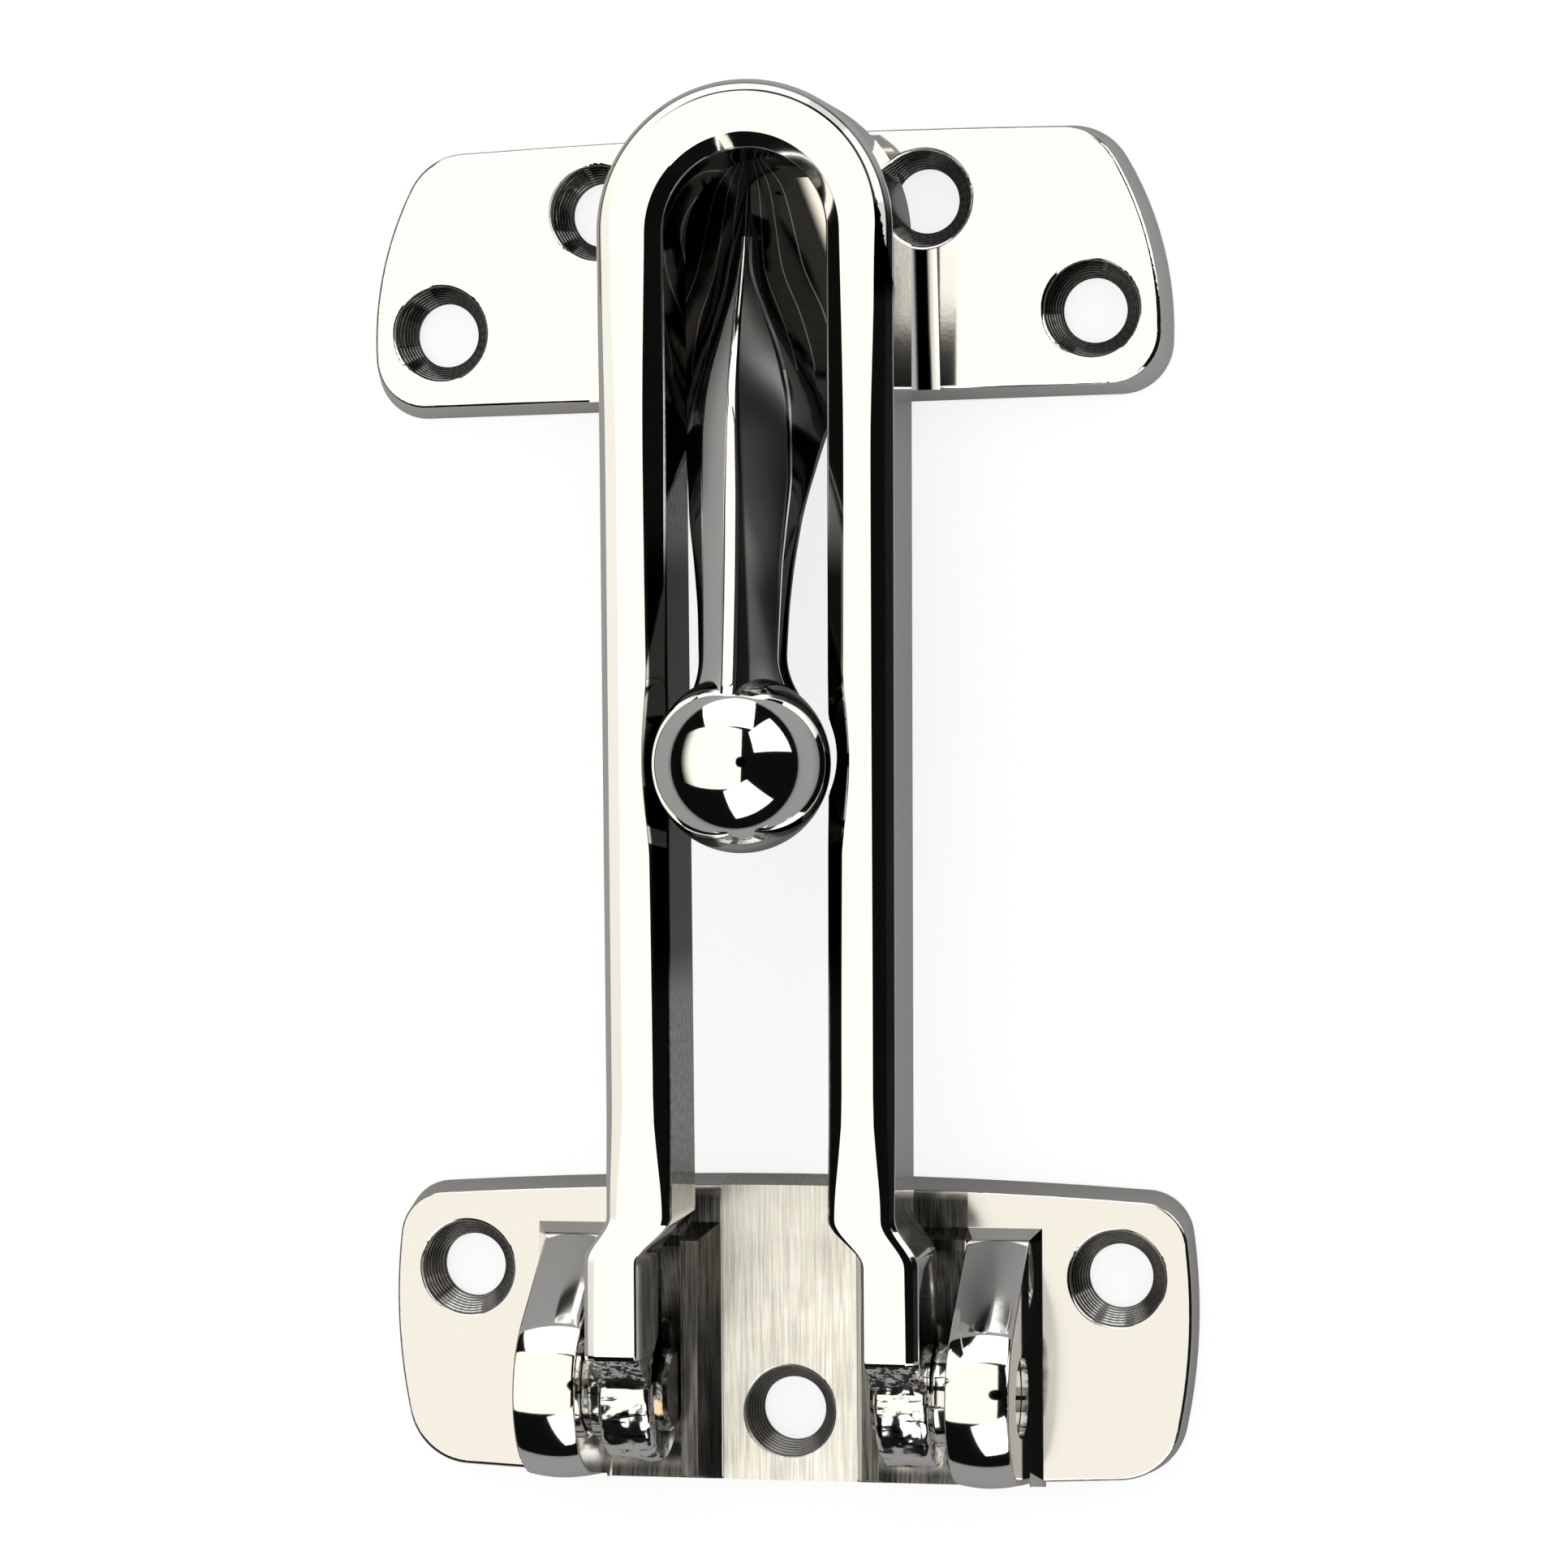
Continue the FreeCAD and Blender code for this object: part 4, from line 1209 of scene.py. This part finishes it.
# Besides ball_nickel, the plain metals are painted shade, painted highlight lines and a lit facet for the
# arm.
PLAIN_METALS = {
    "ball_nickel": {"haze": 0.05},
    "root_shade": {"haze": 0.12},
    "root_line": {"haze": 0.25},
    "left_facet": {"haze": 0.22, "metal": 0.4},
    "arm_line": {"haze": 0.3},
}
NODE_METALS = {
    "swing_bar": "bar_nickel",
    "ball_plate": "bar_nickel",
    "base_plate": "hinge_plate_nickel",
    "pivot_pin_left": "pin_nickel",
    "pivot_pin_right": "pin_nickel",
}


class GUARD_OT_finishes(Operator):
    """Give the loaded parts their metal finishes"""

    bl_idname = "guard.finishes"
    bl_label = "Metal finishes"

    def execute(self, context):
        colours = context.scene.guard_colours
        buffed_group()
        streak_group()
        screw_group()
        for make in METALS:
            material, net = new_material(make.__name__)
            material.use_fake_user = True
            make(net, context.scene.guard_sizes, colours)
        for name, values in PLAIN_METALS.items():
            material, net = new_material(name)
            material.use_fake_user = True
            finish_metal(net, (*getattr(colours, name, colours.bar_nickel), 1), **values)
        for node, name in NODE_METALS.items():
            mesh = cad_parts[node].data
            if not mesh.materials:
                mesh.materials.append(None)
            for slot in range(len(mesh.materials)):
                mesh.materials[slot] = bpy.data.materials[name]
        return {"FINISHED"}


def liner_tree():
    """Turned cone with fine grooves, laid on every point of the carrier."""
    net, start, end = new_tree(
        "turned_liner", "Geometry",
        {"Geometry": "Geometry", "Rim": 0.0044, "Bore": 0.0028, "Face": 0.0032, "Land": 0.0008,
         "Pitch": 0.0002, "Depth": 0.00001, "Material": "Material"}, {"Geometry": "Geometry"})
    grid = net.add("GeometryNodeMeshGrid", Size_X=1.0, Size_Y=1.0, Vertices_X=97, Vertices_Y=73)
    x, y, z = net.axes(net.add("GeometryNodeInputPosition"))
    turn = net.times(net.plus(x, 0.5), math.tau)
    share = net.plus(y, 0.5)
    height = net.scaled(share, net.less(start["Land"], start["Face"]), start["Face"])
    groove = net.math("SINE", net.times(net.math("DIVIDE", height, start["Pitch"]), math.tau))
    radius = net.scaled(share, net.less(start["Bore"], start["Rim"]), start["Rim"])
    radius = net.plus(radius, net.times(groove, start["Depth"]))
    spot = net.add("ShaderNodeCombineXYZ", net.times(radius, net.math("COSINE", turn)),
                   net.times(radius, net.math("SINE", turn)), height)
    cone = net.add("GeometryNodeSetPosition", Geometry=grid, Position=spot)
    closed = net.add("GeometryNodeMergeByDistance", Geometry=cone, Distance=0.001 * MM)
    laid = net.add("GeometryNodeInstanceOnPoints", Points=start["Geometry"], Instance=closed)
    real = net.add("GeometryNodeRealizeInstances", Geometry=laid)
    soft = net.add("GeometryNodeSetShadeSmooth", Geometry=real)
    dressed = net.add("GeometryNodeSetMaterial", Geometry=soft, Material=start["Material"])
    net.fill(end, Geometry=dressed)
    return net.tree


def lay_liners(name, tree, spots, material, sizes, rim, face):
    """Plain mesh object of the liners laid on spots."""
    gap = 0.02 * MM
    values = {"Rim": rim / 2 - gap - sizes.screw_lip, "Bore": sizes.screw_bore / 2 - gap,
              "Face": face - sizes.screw_lip, "Land": sizes.screw_land, "Pitch": sizes.turned_pitch,
              "Depth": sizes.turned_depth, "Material": bpy.data.materials[material]}
    carrier = mesh_object(name + "_carrier", spots, [])
    modifier = carrier.modifiers.new("liners", "NODES")
    modifier.node_group = tree
    for item in tree.interface.items_tree:
        if item.item_type == "SOCKET" and item.in_out == "INPUT" and item.name in values:
            modifier[item.identifier] = values[item.name]
    carrier.update_tag()
    bpy.context.view_layer.update()
    graph = bpy.context.evaluated_depsgraph_get()
    mesh = bpy.data.meshes.new_from_object(carrier.evaluated_get(graph), depsgraph=graph)
    mesh.name = name
    bpy.data.objects.remove(carrier)
    first = mesh.polygons[0]
    if first.normal.xy.dot(first.center.xy - Vector(spots[0]).xy) > 0:
        mesh.flip_normals()
    return link(bpy.data.objects.new(name, mesh))


class GUARD_OT_countersinks(Operator):
    """Line the countersinks of both plates with turned grooves"""

    bl_idname = "guard.countersinks"
    bl_label = "Turned countersinks"

    def execute(self, context):
        sizes = context.scene.guard_sizes
        tree = liner_tree()
        half = sizes.screw_spacing / 2
        upper = sizes.upper_spacing / 2
        base_metal = "hinge_plate_nickel"
        outer = lay_liners("outer_liners", tree, [(-half, 0, 0), (half, 0, 0)], base_metal, sizes,
                           sizes.screw_rim, sizes.plate)
        low = lay_liners("low_liner", tree, [(0, sizes.low_screw, 0)], base_metal, sizes,
                         sizes.low_rim, sizes.plate - sizes.channel)
        base = joined("hinge_plate_countersinks", [outer, low])
        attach(base, "plates")
        screws = ((-half, 0.0), (half, 0.0), (-upper, sizes.upper_rise), (upper, sizes.upper_rise))
        spots = [plate_spot(sizes, across - sizes.lean, sizes.rise + above, 0.0) for across, above in screws]
        top = lay_liners("ball_plate_countersinks", tree, spots, "ball_plate_nickel", sizes,
                         sizes.screw_rim, sizes.plate)
        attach(top, "plates")
        return {"FINISHED"}


STEPS = (GUARD_OT_stage, GUARD_OT_finishes, GUARD_OT_swing_bar, GUARD_OT_ball_plate,
         GUARD_OT_hinge_plate, GUARD_OT_countersinks)


class GUARD_PT_panel(Panel):
    """Steps that dress the door guard"""

    bl_idname = "GUARD_PT_panel"
    bl_label = "Door guard"
    bl_space_type = "VIEW_3D"
    bl_region_type = "UI"
    bl_category = "Door guard"

    def draw(self, context):
        for step in STEPS:
            self.layout.operator(step.bl_idname)


CLASSES = (GuardSizes, GuardColours, *STEPS, GUARD_PT_panel)


def register():
    for made in CLASSES:
        bpy.utils.register_class(made)
    bpy.types.Scene.guard_sizes = PointerProperty(type=GuardSizes)
    bpy.types.Scene.guard_colours = PointerProperty(type=GuardColours)


def unregister():
    del bpy.types.Scene.guard_colours
    del bpy.types.Scene.guard_sizes
    for made in reversed(CLASSES):
        bpy.utils.unregister_class(made)


def main():
    register()
    bpy.ops.guard.stage()
    bpy.ops.guard.finishes()
    bpy.ops.guard.swing_bar()
    bpy.ops.guard.ball_plate()
    bpy.ops.guard.hinge_plate()
    bpy.ops.guard.countersinks()


if __name__ == "__main__":
    main()
